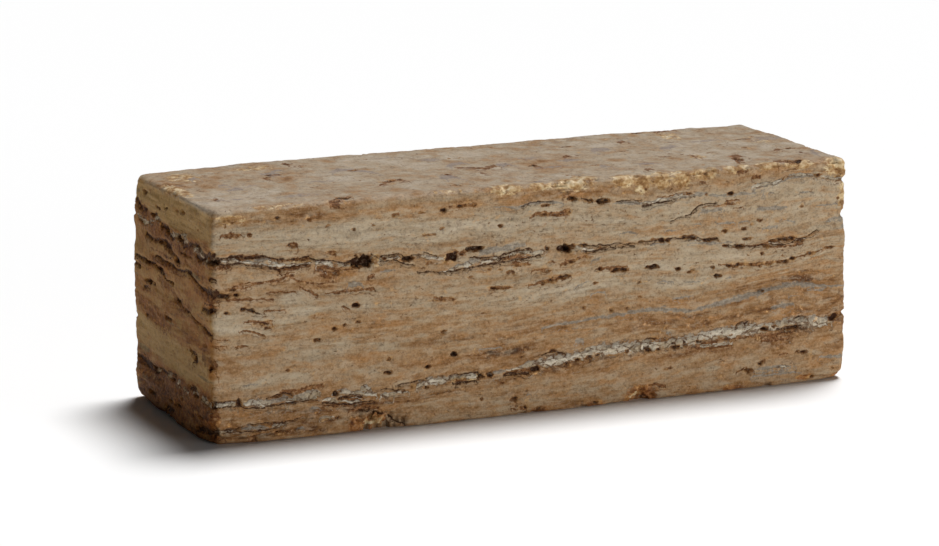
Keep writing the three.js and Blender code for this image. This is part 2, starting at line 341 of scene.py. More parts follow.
SEAM_GAPS = dict(height=0.75, length=21, rise=60, start=3)
SEAM_PINCHES = dict(height=0.9, length=6, rise=5, seed=31)
SEAM_ENDS = dict(height=2.2, length=26, rise=60, seed=12)
RAGS = dict(height=0.42, length=4.5, rise=4)
FINE_RAGS = dict(height=0.21, length=2, rise=2, seed=4)
KNOBS = dict(height=1, length=3.2, rise=3.2)
FINE_KNOBS = dict(height=0.6, length=1.8, rise=1.8)
CRUMBS = dict(height=1, length=6, rise=6)
FINE_CRUMBS = dict(height=0.4, length=2.8, rise=2.8)

# Grooves along the skins of hidden seams, the two crusts first: half width, depth, and extra
# depth where a seam is open
GROOVES = [
    (UPPER_CRUST, 1.6, 0.8, 3.6),
    (LOWER_CRUST, 1.7, 0.9, 3.4),
    (TOP_SEAM, 1.2, 0.3, 2.0),
    (BASE_SEAM, 1.2, 0.3, 1.6),
    (HOLE_LINE, 1.2, 0.1, 2.2),
]
CRUST_FALL = 1.2  # how far inside a hidden crust it reaches its full depth of knobs
CRUST_DEPTH = 0.9
BROKEN_WEAR = 0.25  # what is left of a hidden seam's depth where the seam dies out

# Relief of the strokes: where their slopes begin and how wide these are, both in half widths, the
# depth, and the extra depth where a dark stroke is open or between the knobs of another
STROKE_RELIEF = {
    "dark": (2, 1.6, 1.3, 1.5),
    "white": (1.7, 0.9, 0.55, 0.75),
    "brown": (1.6, 0.9, 0.35, 0.45),
}
HIGHEST_SEAM = 0.3  # how far a strand's knobs may stand out of the stone
CRUMB_HEIGHT = 1.6  # of the golden crystals
CRUMB_RISE = 0.2  # the share of it that may stand out of the stone
CRUMBLY = 0.6  # how golden an edge is where its crystals have their full height


def crust_field(seam, places):
    """Millimetres inside a seam's crust: above zero between its two skins, which are ragged."""
    along, back, up = places
    lower, upper = seam.skins(along, back)
    ragged = waves(places, **RAGS) + waves(places, **FINE_RAGS)
    return np.minimum(up - lower, upper - up) + ragged


def openness(places):
    """1 where a seam lies open, and 0 where it is closed."""
    wide = 0.55 + waves(places, **SEAM_GAPS)
    narrow = 0.5 + waves(places, **SEAM_PINCHES)
    return np.clip(wide, 0, 1) * np.clip(narrow, 0, 1)


def hidden_share(places):
    """1 on the back and the right end, 0 on the front face and the left end."""
    along, back, _ = places
    return smooth((np.minimum(along, back) - FACE_REACH + 3) / 3)


def unbroken(places):
    """1 where seams show on the back and the right end, 0 in the gaps where they die out."""
    return smooth(0.7 + waves(places, **SEAM_ENDS))


def seam_depth(places, strokes):
    """How deep seams lie open: by their strokes on the front and left, by themselves elsewhere."""
    opened = openness(places)
    knobs = waves(places, **KNOBS) + waves(places, **FINE_KNOBS)
    depth, inside = 0, []
    for seam, half_width, shallow, extra in GROOVES:
        inside.append(crust_field(seam, places))
        depth = depth + (shallow + extra * opened) * smooth(1 - abs(inside[-1]) / half_width)
    in_crust = smooth(np.maximum(*inside[:2]) / CRUST_FALL)
    depth += in_crust * np.maximum(0, CRUST_DEPTH - CRUST_DEPTH * knobs)
    depth *= hidden_share(places) * (BROKEN_WEAR + (1 - BROKEN_WEAR) * unbroken(places))
    for name, (start, slope, shallow, extra) in STROKE_RELIEF.items():
        gap, near = strokes[name]
        more = opened if name == "dark" else -knobs
        depth += near * smooth((start - abs(gap)) / slope) * (shallow + extra * more)
    return np.maximum(depth, -HIGHEST_SEAM)


def crumbling(places):
    """Lumps where the stone's worn edges are golden crystals."""
    lumps = waves(places, **CRUMBS) + waves(places, **FINE_CRUMBS)
    return CRUMB_HEIGHT * smooth(blobs(places, GOLDEN) / CRUMBLY) * np.maximum(lumps, -CRUMB_RISE)


def hollow_depth(places, outward, centre, half_sizes, ragged):
    """How deep a rough hollow cuts below each place, and how far inside its rim each place is."""
    half_sizes = np.array(half_sizes, float)[:, None]
    offset = (places - np.array(centre, float)[:, None]) / half_sizes
    step = outward / half_sizes
    size = 1 + ragged
    square = (step ** 2).sum(axis=0)
    along_ray = (offset * step).sum(axis=0)
    away = (offset ** 2).sum(axis=0)
    room = along_ray ** 2 - square * (away - size ** 2)
    deep = (along_ray + np.sqrt(np.maximum(room, 0))) / square
    inside = (size - np.sqrt(away)) * half_sizes.min()
    return np.where((room > 0) & (away < size ** 2), deep, 0), inside


# Holes that open on the front face: along, up, half length, half height, depth
FRONT_PITS = rows(
    "132 148 8 5 8, 176 146 6 2 4, 216 143.5 4.5 3.5 4, 225 146 4 2 5, 237 149 9 2 5.5",
    "306 143.5 3 2.5 5, 324 142 10.5 3.6 8, 356 140 3 1.5 4, 416 141.5 2.5 2 4, 439 142 3 1.5 4",
    "446 141.5 4 2 5, 463 138 5 1.2 3, 478 131 3 1.5 3, 492 129.5 7 1.2 3, 520 128 6 1.6 2",
    "540 132 8 1.6 3, 553 129 5 1.2 2, 330 185 4.4 2.2 6, 346 182 3 1.2 3, 360 180.5 7.5 2.4 6",
    "484 177.5 3 1.3 4, 571 187 2.5 1.2 3, 513 151 3 1.4 4, 504 147.5 2.5 1 2, 255 113 4 1.5 4",
    "263 113 8 0.8 1.5, 302 113 3 1.8 4, 313 115 5 1.6 2.5, 321 117 5 1.4 2.5, 357 121 2.5 1.2 3",
    "376 118.5 6.5 2.2 5, 408 118 5 1.8 4.5, 433 114 3 1.6 4, 447 112.5 3 1.4 4",
    "482 113 2.5 1.3 2.5, 492 112.5 4.5 2.4 5, 507 112 5 1 2, 513 109.5 2 1.2 4, 522 112 4 1.2 3",
    "535 112 5 1.4 3.5, 546 114 2.5 1.2 2.5, 563 117 3.5 1.6 4.5, 582 121 4 0.8 2",
    "470 105 5.5 1.6 3, 128 110 3.5 1.8 3.5, 28 116 2.5 1.4 2, 35 114 3.2 1.6 3.5, 16 133 4 1.2 2",
    "12 128 5 1.4 3, 22 128.5 3 1.2 2.5, 106 139 6 2.4 1.6, 50 98 3 1.4 2, 46 103 7 1.2 1.5",
    "109 91 2 1.6 3, 118 94 1.6 1.4 3, 132 95 2.5 1.2 2, 95 83 2.5 1.2 2, 67 60 2 1.2 3",
    "159 61 1.6 1.4 3, 157 49 5 1.2 3, 195 50 3 1.4 3.5, 219 59 2.4 1.8 4.5, 222 88 1.6 1.3 3",
    "24 36 1.8 4 4, 110 35.5 3.5 2.6 5, 116 31 5 1 2, 180 34 1.6 1.6 3, 194 32 3 1.4 4",
    "244 35.5 3.6 3.8 6, 253 38 3.4 2.8 5, 275 36.5 7 1.2 2, 295 38.5 4.6 2.4 5, 325 40 3 1.6 4",
    "336 43 2.2 1.4 4, 347 44 3.6 1.6 4, 354 45 2.4 1.4 4, 383 45.5 2 1.2 3, 403 45 2.4 1.6 4",
    "413 45 2.6 1.6 4, 430 45 4 1.2 3.5, 440 45 2 1.4 3, 452 48 2.5 1.4 3, 312 53 3 1 2.5",
    "518 53 4 1.8 4.5, 528 53.5 2.4 1.6 4, 546 51 6.5 1.4 3, 569 56 1.8 1.4 4, 588 57.5 4 2.6 5",
    "112 14 3 1.4 3.5, 60 8 3 1 2, 33 178 1.6 1.4 2, 12 178 2 1.3 1.6, 17 179 2.2 1.4 1.6",
    "23 177.5 2 1.3 1.6, 72 166 4.5 1.8 1.5, 106 156 4 1.4 1.4, 127 175 2 1.3 2, 86 186 2.4 1.2 2",
    "59 190 2.2 1.4 3, 145 177 2 1 2, 165 184 2.5 1 2, 224 187 9 1 1.6, 237 187 2 1.3 4",
    "207 168 1.8 1.1 1.6, 262 167 2 1.1 2, 300 173 8 0.8 1.6, 314 172 8 0.8 1.6, 325 174 2.8 2 1.4",
    "252 129.5 2.2 1.2 3, 262 129 1.6 0.9 2, 281 131 6 0.9 1.6, 272 125 3 1.6 1.4",
    "303 124 5 1.6 1.2, 328 130 4 1.2 2, 340 132.5 5 0.9 1.6, 353 109 1.8 1.2 3, 210 108 7 1 1.2",
    "310 131 3 0.9 1.4, 484 168 8 0.7 1.6, 556 160 1.6 1.3 3, 515 121 1.6 1.1 3, 400 188 1.8 1.6 3",
    "383 84 1.6 1.2 2.4, 368 84 2.4 1.2 1.8, 342 88 2 1 1.6, 396 93 3 1.2 1.4, 503 17 4 1.6 2.2",
    "515 22 3 1.2 2.2, 551 29 3 1.2 3, 559 28.5 3.4 1.2 3.5, 567 22 2 1.4 4, 585 11 3 1.8 3.5",
    "566 5 3 1.4 2, 275 14 3 1.8 1.8, 284 6 3 1.2 2, 299 4 4 2 2.4, 195 140 3 1 1.4",
    "500 136 6 0.9 1.6, 478 144 2 1 2, 496 145 2.2 1 2, 38 4 3 3.4 2, 352 3 3 1.6 2",
    "535 149 3 0.8 1.4",
)

# Holes that open on the left end: back, up, half length, half height, depth
LEFT_PITS = rows(
    "-1 131 5 3.2 5, 5 116.5 4.5 2.2 4, -2 163 4 3 3, 76 163 8 2 5, 110 165 6 1.8 4, 44 69 6 3 4",
    "52 72 3 2 3, 85 143 5 1.6 3, 85 108 8 1.6 4, 160 128 12 1.6 3.5, 126 127.5 9 1.4 3",
    "185 120 9 1.4 3, 158 111 7 1.4 3, 4 67 4 3.4 4, 100 37 9 1.6 4, 150 36 8 1.4 4, 40 36 9 1.6 4",
    "60 152 14 1 2.5, 130 151 12 1 2.5, 30 20 8 1.6 3, 90 17 12 1.6 3.5, 150 14 9 1.6 3",
    "70 25 5 1.4 3, 20 84 6 1.2 2, 110 88 9 1.2 2, 160 80 7 1.2 2, 12 10 8 3 3, 130 180 5 1.2 2",
    "75 186 6 1.2 2, 170 187 6 1.2 2",
)

# Holes that open on the top bed: along, back, half length, half width, depth
TOP_PITS = rows(
    "120 10 8 4 3, 112 5 6 1.2 2.5, 190 65 8 2 3, 243 70 3 2 3, 330 80 4 2 3.5, 133 172 5 2 3",
    "508 32 4 7 2, 503 18 3 3 2.5, 548 5 9 3 2.5, 105 130 7 2.4 2, 97 122 3 2 2.5, 430 110 6 1.8 2",
    "485 186 6 3 3, 560 120 7 1.6 2, 60 40 3 1.4 2, 280 140 5 1.4 2.5, 380 60 4 1.4 2",
    "230 25 4 1.4 2, 455 70 5 1.2 2, 395 150 6 1.6 2.5, 50 150 5 1.4 2, 175 120 3 1.6 2",
    "540 80 3 1.6 2.5, 340 30 2.4 1.4 2, 575 60 4 2 2.5",
)

# Pieces broken off the edges: place and half sizes along, back and up
BREAKS = [
    ((150, -7, 2), (25, 15, 19)), ((398, -8, -1), (19, 14, 16)), ((38, -6, 0), (8, 10, 9)),
    ((603, -3, 181), (9, 13, 5)), ((604, -3, 150), (10, 14, 6)), ((604, -3, 60), (9, 13, 5)),
    ((-3, 198, 165), (7, 10, 5)), ((268, -5, 203), (11, 12, 9)), ((322, -6, 204), (16, 14, 11)),
    ((388, -5, 204), (13, 12, 10)), ((455, -6, 204), (18, 14, 11)), ((585, -5, 204), (10, 12, 10)),
    ((600, 62, 204), (9, 26, 6)), ((602, 150, 204), (8, 14, 5)), ((-5, 120, -4), (14, 44, 9)),
    ((210, 202, 205), (24, 15, 12)), ((470, 201, -4), (26, 16, 16)), ((350, -4, 202), (9, 9, 5)),
    ((300, -4, 203), (8, 8, 6)), ((425, -4, 202), (10, 9, 5)), ((490, -5, 203), (11, 9, 6)),
    ((550, -5, 203), (9, 10, 6)), ((230, -5, 203), (12, 8, 5)), ((170, -5, 203), (10, 8, 5)),
    ((80, -5, 204), (14, 8, 6)), ((520, -5, -3), (16, 9, 8)), ((290, -5, -3), (18, 9, 8)),
    ((220, -5, -3), (12, 9, 7)), ((340, -5, -2), (9, 8, 6)), ((460, -5, -3), (11, 8, 7)),
    ((570, -5, -3), (12, 9, 8)), ((95, -5, -2), (10, 8, 7)),
]

SCATTERED_ON_SIDES = 420
SCATTERED_ON_TOP = 36
OFF_SEAMS = 0.4  # the share of the scattered holes that keep to no seam
SHOWN_SHARE = 0.12  # of those that would fall on the front face and the left end
LARGE_SHARE = 0.12  # of those on the back and the ends
LARGE = 2.2  # times as large as the rest
SPLIT_FROM = 2.2  # holes of this half length or more are split up
SHALLOW = 1.5  # holes no deeper than this are brown, and deeper ones get painted shade inside
RIM_REACH = 3  # how far outside a hole its rim is still told from the plain surface
PIT_LENGTHS = (2.0, 0.75)  # the shape and scale of a gamma distribution, for half lengths
PIT_RISES = (0.6, 1.3)
PIT_DEPTHS = (0.8, 3.5)
PIT_STRAY = 2.2  # how far the scattered holes lie from their seams
TOP_PIT_LENGTHS = (2.0, 0.8)
TOP_PIT_WIDTHS = (0.7, 1.6)
TOP_PIT_DEPTHS = (0.8, 2.2)
PIT_RAGS = dict(lump=2.6, share=0.42)
BREAK_RAGS = dict(lump=6, share=0.2)


def point_on_sides(rng):
    """A place on the four sides, and the axis that the side faces along."""
    run = rng.uniform(0, 2 * (LENGTH + DEPTH))
    if run < LENGTH:
        return run, 0, 1
    if run < LENGTH + DEPTH:
        return LENGTH, run - LENGTH, 0
    if run < 2 * LENGTH + DEPTH:
        return run - LENGTH - DEPTH, DEPTH, 1
    return 0, run - 2 * LENGTH - DEPTH, 0


def scattered_pits():
    """Small holes on every face, most of them strung along the seams."""
    rng = np.random.default_rng(5)
    pits = []
    while len(pits) < SCATTERED_ON_SIDES:
        along, back, facing = point_on_sides(rng)
        seam = SEAMS[rng.integers(len(SEAMS))]
        up = float(seam.middle(np.array(along), np.array(back))) + rng.normal(0, PIT_STRAY)
        if rng.random() < OFF_SEAMS:
            up = rng.uniform(6, HEIGHT - 6)
        long, rise = rng.gamma(*PIT_LENGTHS) + 0.7, rng.uniform(*PIT_RISES)
        depth = rng.uniform(*PIT_DEPTHS)
        shown = rng.random() < SHOWN_SHARE
        if min(along, back) == 0 and not shown:
            continue
        half_sizes = (long, depth, rise) if facing == 1 else (depth, long, rise)
        if back > 0 and rng.random() < LARGE_SHARE:
            half_sizes = tuple(LARGE * half for half in half_sizes)
        pits.append(((along, back, up), half_sizes, depth))
    for _ in range(SCATTERED_ON_TOP):
        place = (rng.uniform(8, LENGTH - 8), rng.uniform(8, DEPTH - 8), HEIGHT)
        long, wide = rng.gamma(*TOP_PIT_LENGTHS) + 0.8, rng.uniform(*TOP_PIT_WIDTHS)
        pits.append((place, (long, wide, rng.uniform(*TOP_PIT_DEPTHS)), 1))
    return pits


def split_up(pits):
    """Each long hole as a few smaller ones that run into each other."""
    rng = np.random.default_rng(29)
    parts = []
    for centre, half_sizes, depth in pits:
        longest = int(np.argmax(half_sizes))
        whole = half_sizes[longest] < SPLIT_FROM
        for _ in range(1 if whole else rng.integers(2, 6)):
            shift = rng.uniform(-0.25, 0.25, 3) * half_sizes
            shift[longest] = rng.uniform(-0.75, 0.75) * half_sizes[longest]
            share = 1 if whole else rng.uniform(0.6, 1)
            sizes = np.array(half_sizes) * (share + 0.1)
            sizes[longest] = half_sizes[longest] * (share if whole else 0.5 * share + 0.15)
            parts.append((np.array(centre) + (0 if whole else shift), sizes, depth))
    return parts


def all_pits():
    on_front = [((x, 0, z), (long, depth, rise), depth) for x, z, long, rise, depth in FRONT_PITS]
    on_left = [((0, y, z), (depth, long, rise), depth) for y, z, long, rise, depth in LEFT_PITS]
    on_top = [((x, y, HEIGHT), (long, wide, depth), depth) for x, y, long, wide, depth in TOP_PITS]
    return split_up(on_front + on_left + on_top + scattered_pits())


def deepest(places, outward, hollows, lump, share):
    """The deepest of many hollows at each place, and how far inside a rim the place is."""
    deep = np.zeros(places.shape[1])
    inside = np.full(places.shape[1], -float(RIM_REACH))
    ragged = share * (noise(*places / lump) + 0.6 * noise(*places / lump * 2.3))
    for centre, half_sizes, *depth in hollows:
        sides = zip(places, centre, half_sizes)
        near = np.all([abs(p - c) < 1.5 * half + RIM_REACH for p, c, half in sides], axis=0)
        near = near.nonzero()[0]
        if near.size:
            here = places[:, near], outward[:, near]
            cut, rim = hollow_depth(*here, centre, half_sizes, ragged[near])
            # deeper holes reach further inside, which the material paints as darker shade
            darkest = 0.8 * (depth[0] - SHALLOW) if depth else 0
            deep[near] = np.maximum(deep[near], cut)
            inside[near] = np.maximum(inside[near], np.minimum(rim, darkest))
    return deep, inside


# ---- Colour fields ---------------------------------------------------------------------------

# How warm each height of the bedding is, from -1, pale grey, to 1, red-brown
TONE_BY_BED = [
    (0, 0.2), (20, 0.25), (33, 0.55), (44, 0.5), (52, 0.1), (62, 0.45), (80, 0.35), (95, 0.2),
    (108, -0.1), (125, 0.05), (138, 0.1), (150, -0.2), (165, -0.6), (180, -0.5), (190, 0.25),
    (200, 0.1),
]

# The same for the left end, above the underside at its front, and how the beds dip further back
LEFT_TONE = [
    (0, 0.95), (30, 1.02), (42, 1.08), (48, 0.5), (54, -0.8), (73, -0.95), (80, 0.6), (104, 0.4),
    (112, 0.05), (148, 0.2), (158, 1.0), (170, 0.8), (176, -0.85), (200, -0.95),
]
LEFT_DIP = [(0, 0), (76, 5), (116, 3), (195, -4)]
LEFT_SHARE = 0.95

# Broad stains on the front face: along, up, half length, half height, tone
FRONT_TINTS = rows(
    "275 54 55 12 0.6, 500 64 120 11 0.55, 555 98 22 6 0.7, 505 90 22 9 0.55, 500 42 110 7 0.35",
    "60 100 60 14 -0.5, 20 100 18 6 -0.6, 70 55 70 6 -0.55, 100 22 90 9 0.35, 30 5 50 10 0.5",
    "80 78 60 7 0.1, 85 187 45 4 0.5, 350 190 60 4 0.5, 130 172 60 8 -0.4, 420 100 60 9 -0.25",
    "330 105 50 8 -0.3, 470 155 50 6 0.35, 560 170 50 6 0.25, 430 170 40 5 0.3, 108 139 16 5 0.9",
    "535 130 26 5 0.6, 250 168 60 8 -0.35, 420 25 90 10 -0.1, 600 60 30 12 0.3",
    "490 125 110 16 -0.4, 300 132 80 12 -0.25, 70 14 90 16 0.4, 440 99 60 9 -0.3, 90 195 60 4 0.5",
    "300 188 60 3 0.4, 535 98 50 7 0.35, 350 22 40 8 -0.2, 12 102 17 6 -1, 44 94 13 3.4 -1",
    "70 123 12 5 -1, 79 110 13 4 -0.9, 137 108 11 3 -0.9, 115 80 14 4 -0.8, 30 50 50 5 -0.5",
    "160 70 16 8 -0.5, 60 93 40 5 0.4, 75 130 50 5 0.3, 150 92 40 6 0.3, 90 74 90 14 -0.5",
    "300 106 110 15 -0.45, 480 122 120 14 -0.35, 440 102 45 8 -0.3, 300 50 60 10 0.2",
    "230 182 60 10 0.3, 530 22 70 12 -0.25, 520 182 80 8 -0.15",
)

# Strands of white calcite, in rows of along, up and half width. At the left end the first number
# is from the back, and on the top the second is back.
WHITE_FRONT = stroke_rows(
    "-4 158 1, 4 157.2 1.1, 12 157 1.2, 16 158 2, 21 157 1.2, 26 155 0.7",
    "26 156 0.5, 31 155 1.3, 38 152.8 1.3, 45 152.2 1, 51 150.4 1, 57 148.6 0.7",
    "49 155.4 0.7, 54 153 1.2, 60 149.8 1.6, 65 150.3 0.8",
    "66 149.3 0.5, 78 149.2 0.8, 88 149.6 0.5",
    "92 149.5 1.2, 98 149.8 1.6, 104 148.2 1.9, 111 146.4 1.5, 118 144.8 1.4, 125 144 1.2",
    "137 146 2, 141 146.5 2.6, 144 145.5 1.2",
    "149 146.8 0.8, 154 147.6 1.7, 161 147.8 1.5, 168 148.4 0.6",
    "181 148.8 0.5, 188 147.3 1, 195 144.6 1.5, 203 143.2 1.6, 209 143 0.6",
    "205 131.4 0.5, 213 131.8 0.8, 222 134.5 1.4, 230 136 1.6, 238 136.5 0.8",
    "243 137 1, 248 137.3 2.1, 257 137.6 1.8, 263 138.4 0.8",
    "271 141.2 0.8, 279 142.2 1.2, 287 142.2 0.9, 292 140 1.5, 299 141 2, 307 144 1",
    "333 142.3 1.5, 339 141 2, 346 139 1, 353 138.2 0.5",
    "418 139.6 0.8, 427 139.6 0.6",
    "441 138.6 0.6, 451 138.2 0.8, 460 136.4 0.6",
    "545 131.3 0.6, 552 131 0.9, 559 131 0.4",
    "522 130.2 0.5, 527 130 1, 532 130 0.4",
    "396 175.5 0.8, 403 175 1, 409 174.8 0.8, 415 178 1.4, 421 177 0.9",
    "423 176.5 0.7, 430 178.8 1.4, 436 180 1.3, 444 178.8 1.1, 449 178.6 0.5",
    "504 181.2 0.9, 514 183 1.2, 526 183.4 0.8, 535 186 0.9",
    "542 188.8 0.6, 553 188.6 1.2, 562 187.6 1, 573 185.8 0.8, 584 182.6 1, 598 181 1",
    "-3 36.3 1.6, 6 36.6 2.1, 16 36.1 2.1, 23.5 36 1.8",
    "27 34.5 1, 33 35.2 2.1, 40 34.8 2.9, 47 33 3, 53 33.2 1.8",
    "66 33.6 1.6, 71 33.5 2.1, 77 35.4 2.6, 86 37.2 2.3, 94 37.8 1.8, 98 37 0.7",
    "74 33.6 0.8, 84 33.5 0.9, 94 33.8 0.5",
    "98 31 1, 104 31.3 2.6, 111 30.3 2.6, 117 28.4 1, 126 27.3 1.3, 134 27 0.5",
    "107 34.5 0.8, 113 36.4 1.8, 119 37 2.1, 126 34.8 1.6, 133 34.3 1.2, 138 32.2 2.1, "
    "148 31.6 1.3",
    "133 38 1.3, 138 38.5 2.6, 143 37 1.3",
    "151 29.5 1.3, 157 29.8 2.2, 163 30.6 2, 168 31.3 1, 178 30 1",
    "184 34 1.3, 190 35.3 2.6, 197 37 2.9, 206 37.8 3, 214 37.4 2.3, 221 38.5 1.6, 232 38.4 1.7, "
    "241 38.4 1.3",
    "267 39.8 0.6, 276 40.2 0.9, 283 42 1.6, 289 43.3 2.4, 297 44 3, 305 44.3 3.6, 312 44.6 4.6, "
    "320 44.8 3.8, 330 45.2 3.3, 342 46.6 3.6, 352 48.4 4.2, 362 49.4 4.8, 380 49 4.6, 400 49 4.6, "
    "420 48.8 4.2, 440 48.8 4.4, 452 50 4.2, 458 51.6 3.6, 466 53.4 3.6, 480 53.4 3.8, 490 53.8 4, "
    "498 54.9 5.2, 508 53.8 4.2, 520 54 3.6, 535 55 4, 552 54.8 4.6, 566 54.6 4.8, 578 54.4 3.6, "
    "586 55 1.6",
    "343 51.6 1.2, 349 51.8 1",
    "455 43 0.6, 470 42.7 0.8, 486 42.8 0.5",
    "-4 13 0.4, 8 13 0.6, 22 12.6 0.5",
    "53 13.7 1.1, 60 13.6 1.4, 65 14 0.6",
    "96 15.5 1, 103 16 1.2, 110 14.5 0.6",
    "532 17.6 0.8, 540 17.4 0.9",
)
WHITE_LEFT = stroke_rows(
    "9 165.5 0.6, 16 162.3 0.9, 26 160.5 1.1, 36 162 0.9, 46 165 0.8, 53 166 0.5",
    "55 169 0.5, 62 170 0.7, 70 169.5 0.4",
    "89 165 0.6, 95 162.4 1, 104 163 0.9, 113 164.6 0.8, 122 166.3 0.8, 133 168.4 0.8",
    "122 161.2 0.8, 130 163.3 1.4, 138 165 0.7",
    "152 160.5 0.8, 159 162 1.3, 168 160.2 1.5, 174 158 0.8",
    "178 157 0.6, 186 156.8 1, 199 157.8 1.1",
    "46 33.5 0.8, 54 35.3 1.3, 60 36.5 0.7",
    "80 37.5 0.8, 87 38.6 1.4, 96 39 0.8",
    "109 38.6 1, 118 40 0.9",
    "124 36 1, 132 36 1.1, 139 34.5 0.8",
    "148 38 0.7, 156 39 1.1, 163 37.8 0.8",
    "168 36.4 0.9, 180 37 1.2, 190 35 1",
)

# Dark open lines: their dark is painted shade in the open seams, under the beds that overhang them,
# over the grooves that the mesh cuts
DARK_FRONT = stroke_rows(
    "-4 161.5 2.4, 3 159.5 1.4, 10 159.3 0.9, 18 160.4 0.9, 25 159.8 1, 34 158.3 1, 44 158.8 0.9, "
    "51 157.3 0.9, 57 155.2 1, 66 154.8 0.5, 75 154 0.4, 81 154.6 0.7, 86 154.8 1.1, 90 152.6 0.9, "
    "97 151.4 0.7, 106 150.2 0.7, 112 148.4 0.8, 118 147 0.7, 125 147.6 1",
    "4 155.2 1.1, 12 154.4 1, 18 154 0.9, 26 155 0.5, 31 151.7 0.7, 40 150.8 0.8, 48 149.3 0.9, "
    "55 147.4 1.1, 60 146.4 1.2, 66 147.3 0.7, 76 148 0.5, 88 148.3 0.5",
    "142 153 0.9, 146 150.6 0.8, 151 149.6 0.7, 158 150.3 0.6, 164 150 0.7, 169 150.5 0.8, "
    "172 147.6 1.1, 176 147 0.9, 181 148 0.7",
    "150 144.5 0.5, 158 145.5 0.4, 166 145.5 0.5, 169 142.4 0.5, 176 140.8 0.6, 182 140.4 0.5",
    "190 150.6 0.4, 196 147.6 0.5, 203 145.3 0.4",
    "184 133.3 0.5, 195 133.4 0.5, 206 130.9 0.4, 220 131.3 0.5, 232 132.8 0.6, 246 133.8 0.8, "
    "262 134.4 0.8, 275 135.4 0.7, 286 136.6 0.6, 293 137.3 0.5, 301 138.4 0.5",
    "233 142 0.6, 240 141 0.7, 248 140.5 0.5, 258 140.3 0.5, 262 139.6 0.9, 266 141.4 1.3, "
    "271 142.4 0.8, 276 143.9 0.8, 283 144.7 0.8, 289 144.4 1, 293 142.6 0.9",
    "260 136.6 0.6, 264 138 1.2, 268 139.4 0.7",
    "335 144.6 0.4, 344 143 0.4, 351 142 0.6, 357 142.6 0.6, 362 141 0.5, 372 142 0.4, "
    "384 140.8 0.4, 398 141.4 0.4, 413 141 0.6, 418 142 0.5, 430 142 0.4, 438 141.6 1.2, "
    "444 141.2 1.1, 451 141 0.8, 456 139 0.6, 464 138 0.6, 469 138.2 0.9, 472 139.6 0.7",
    "340 138.5 0.4, 349 137 0.6, 357 138 0.6, 370 138.6 0.3, 390 138 0.3",
    "480 131.2 0.5, 488 130.8 0.4, 493 129.4 0.7, 500 128.6 0.5, 512 128.4 0.5, 519 129.4 0.5",
    "521 131 0.6, 529 133 0.6, 536 132.8 0.7, 544 132.7 1, 551 131.8 0.7, 558 131.8 0.6, "
    "564 134.3 0.7, 571 138 0.6",
    "522 128.5 0.6, 530 128.3 0.8, 538 127 0.6, 548 129.4 0.8, 556 129.8 0.6",
    "396 172.6 0.8, 404 172.4 0.8, 411 174.6 0.5, 419 175 0.6, 427 175.6 0.5",
    "424 157.2 0.3, 434 160 0.5, 444 161.4 0.6, 448 166 0.7, 453 169.3 0.6, 462 170.2 0.5, "
    "470 170 0.4",
    "282 181 0.4, 290 183.6 0.5, 300 185 0.4, 312 184 0.3",
    "338 184.5 0.4, 345 182.5 0.7, 349 181 0.5",
    "371 178.8 0.5, 384 178.6 0.4, 396 178 0.5",
    "-3 39.3 0.6, 6 38.8 0.6, 16 38.5 0.6, 23 38.6 0.7",
    "-4 34 0.9, 6 34.2 0.5, 16 34 0.5, 24 33.3 0.7, 30 31.4 0.6, 38 31 0.7, 46 29.8 0.7, "
    "56 30.6 0.6, 64 31 0.6, 72 31.4 0.5, 84 32.2 0.4, 96 31 0.4",
    "48 37.2 0.5, 54 38.6 0.6, 61 40.6 0.7, 67 40 0.8, 72 38.8 0.6",
    "98 28.8 0.9, 106 27.5 0.8, 116 25.8 0.6, 126 25 0.7, 136 25.8 0.6, 146 27 0.4",
    "113 30.6 1, 118 32 0.6, 124 33 0.5, 130 31.8 0.6, 136 29.4 0.6",
    "146 34 0.5, 156 35.4 0.4, 168 33 0.7, 174 32.5 0.5",
    "160 36.6 0.4, 172 37.3 0.5, 184 38 0.4, 196 40 0.3",
    "216 39.8 0.9, 224 40.2 0.7, 234 41 0.5, 243 40.6 0.7",
    "218 33.6 0.8, 226 32.6 0.8, 236 33.3 0.7, 242 32.8 0.8",
    "266 35.4 0.7, 274 35.8 1.1, 282 35.6 0.9, 290 35.8 1",
    "300 50.3 0.5, 308 51.8 0.7, 313 53 1.2, 318 51.2 1, 324 49.4 0.5",
    "399 46.8 1.2, 405 47.4 0.9",
    "400 54.2 0.5, 405 55.4 1.1, 410 54.2 0.5",
    "427 48.4 0.9, 432 46.6 1.2",
    "438 48.4 1, 442 46.8 0.8",
    "450 47.4 1, 456 47.6 1",
    "489 57.4 1, 492 60.6 0.7, 496 61 0.5, 499 59.4 1, 503 61.4 0.4",
    "530 51 0.8, 540 51.4 1, 550 51.2 0.9, 556 52 0.6",
    "548 60.4 0.8, 555 60.2 0.7",
    "-4 14.4 0.6, 8 14.2 0.6, 22 14.2 0.6, 32 16.4 0.6, 44 17 0.6, 54 15.8 0.6, 64 15.4 0.5, "
    "74 17.4 0.4, 82 18.6 0.4",
    "2 11.4 0.4, 22 11.3 0.5, 36 10.6 0.5, 50 11 0.5, 60 11.6 0.4",
    # a painted shadow in an arc under the upper edge of the broken hollow at the foot
    "126 15.5 0.8, 132 18 1.2, 140 17.4 2, 148 15 2, 154 12.8 1.7, 160 9.4 1.5, 167 5 1.3, "
    "174 1 1",
    "-5 143.5 1.2, 4 142.6 0.7",
    "-6 131.5 3.2, 0 130.5 2.4, 6 129 1.5, 10 128.3 1.2, 15 127.4 1",
    "26 117.2 0.7, 31 115 0.8, 37 113.4 1, 44 110 0.4",
    "43 103 0.6, 50 101 0.4",
)
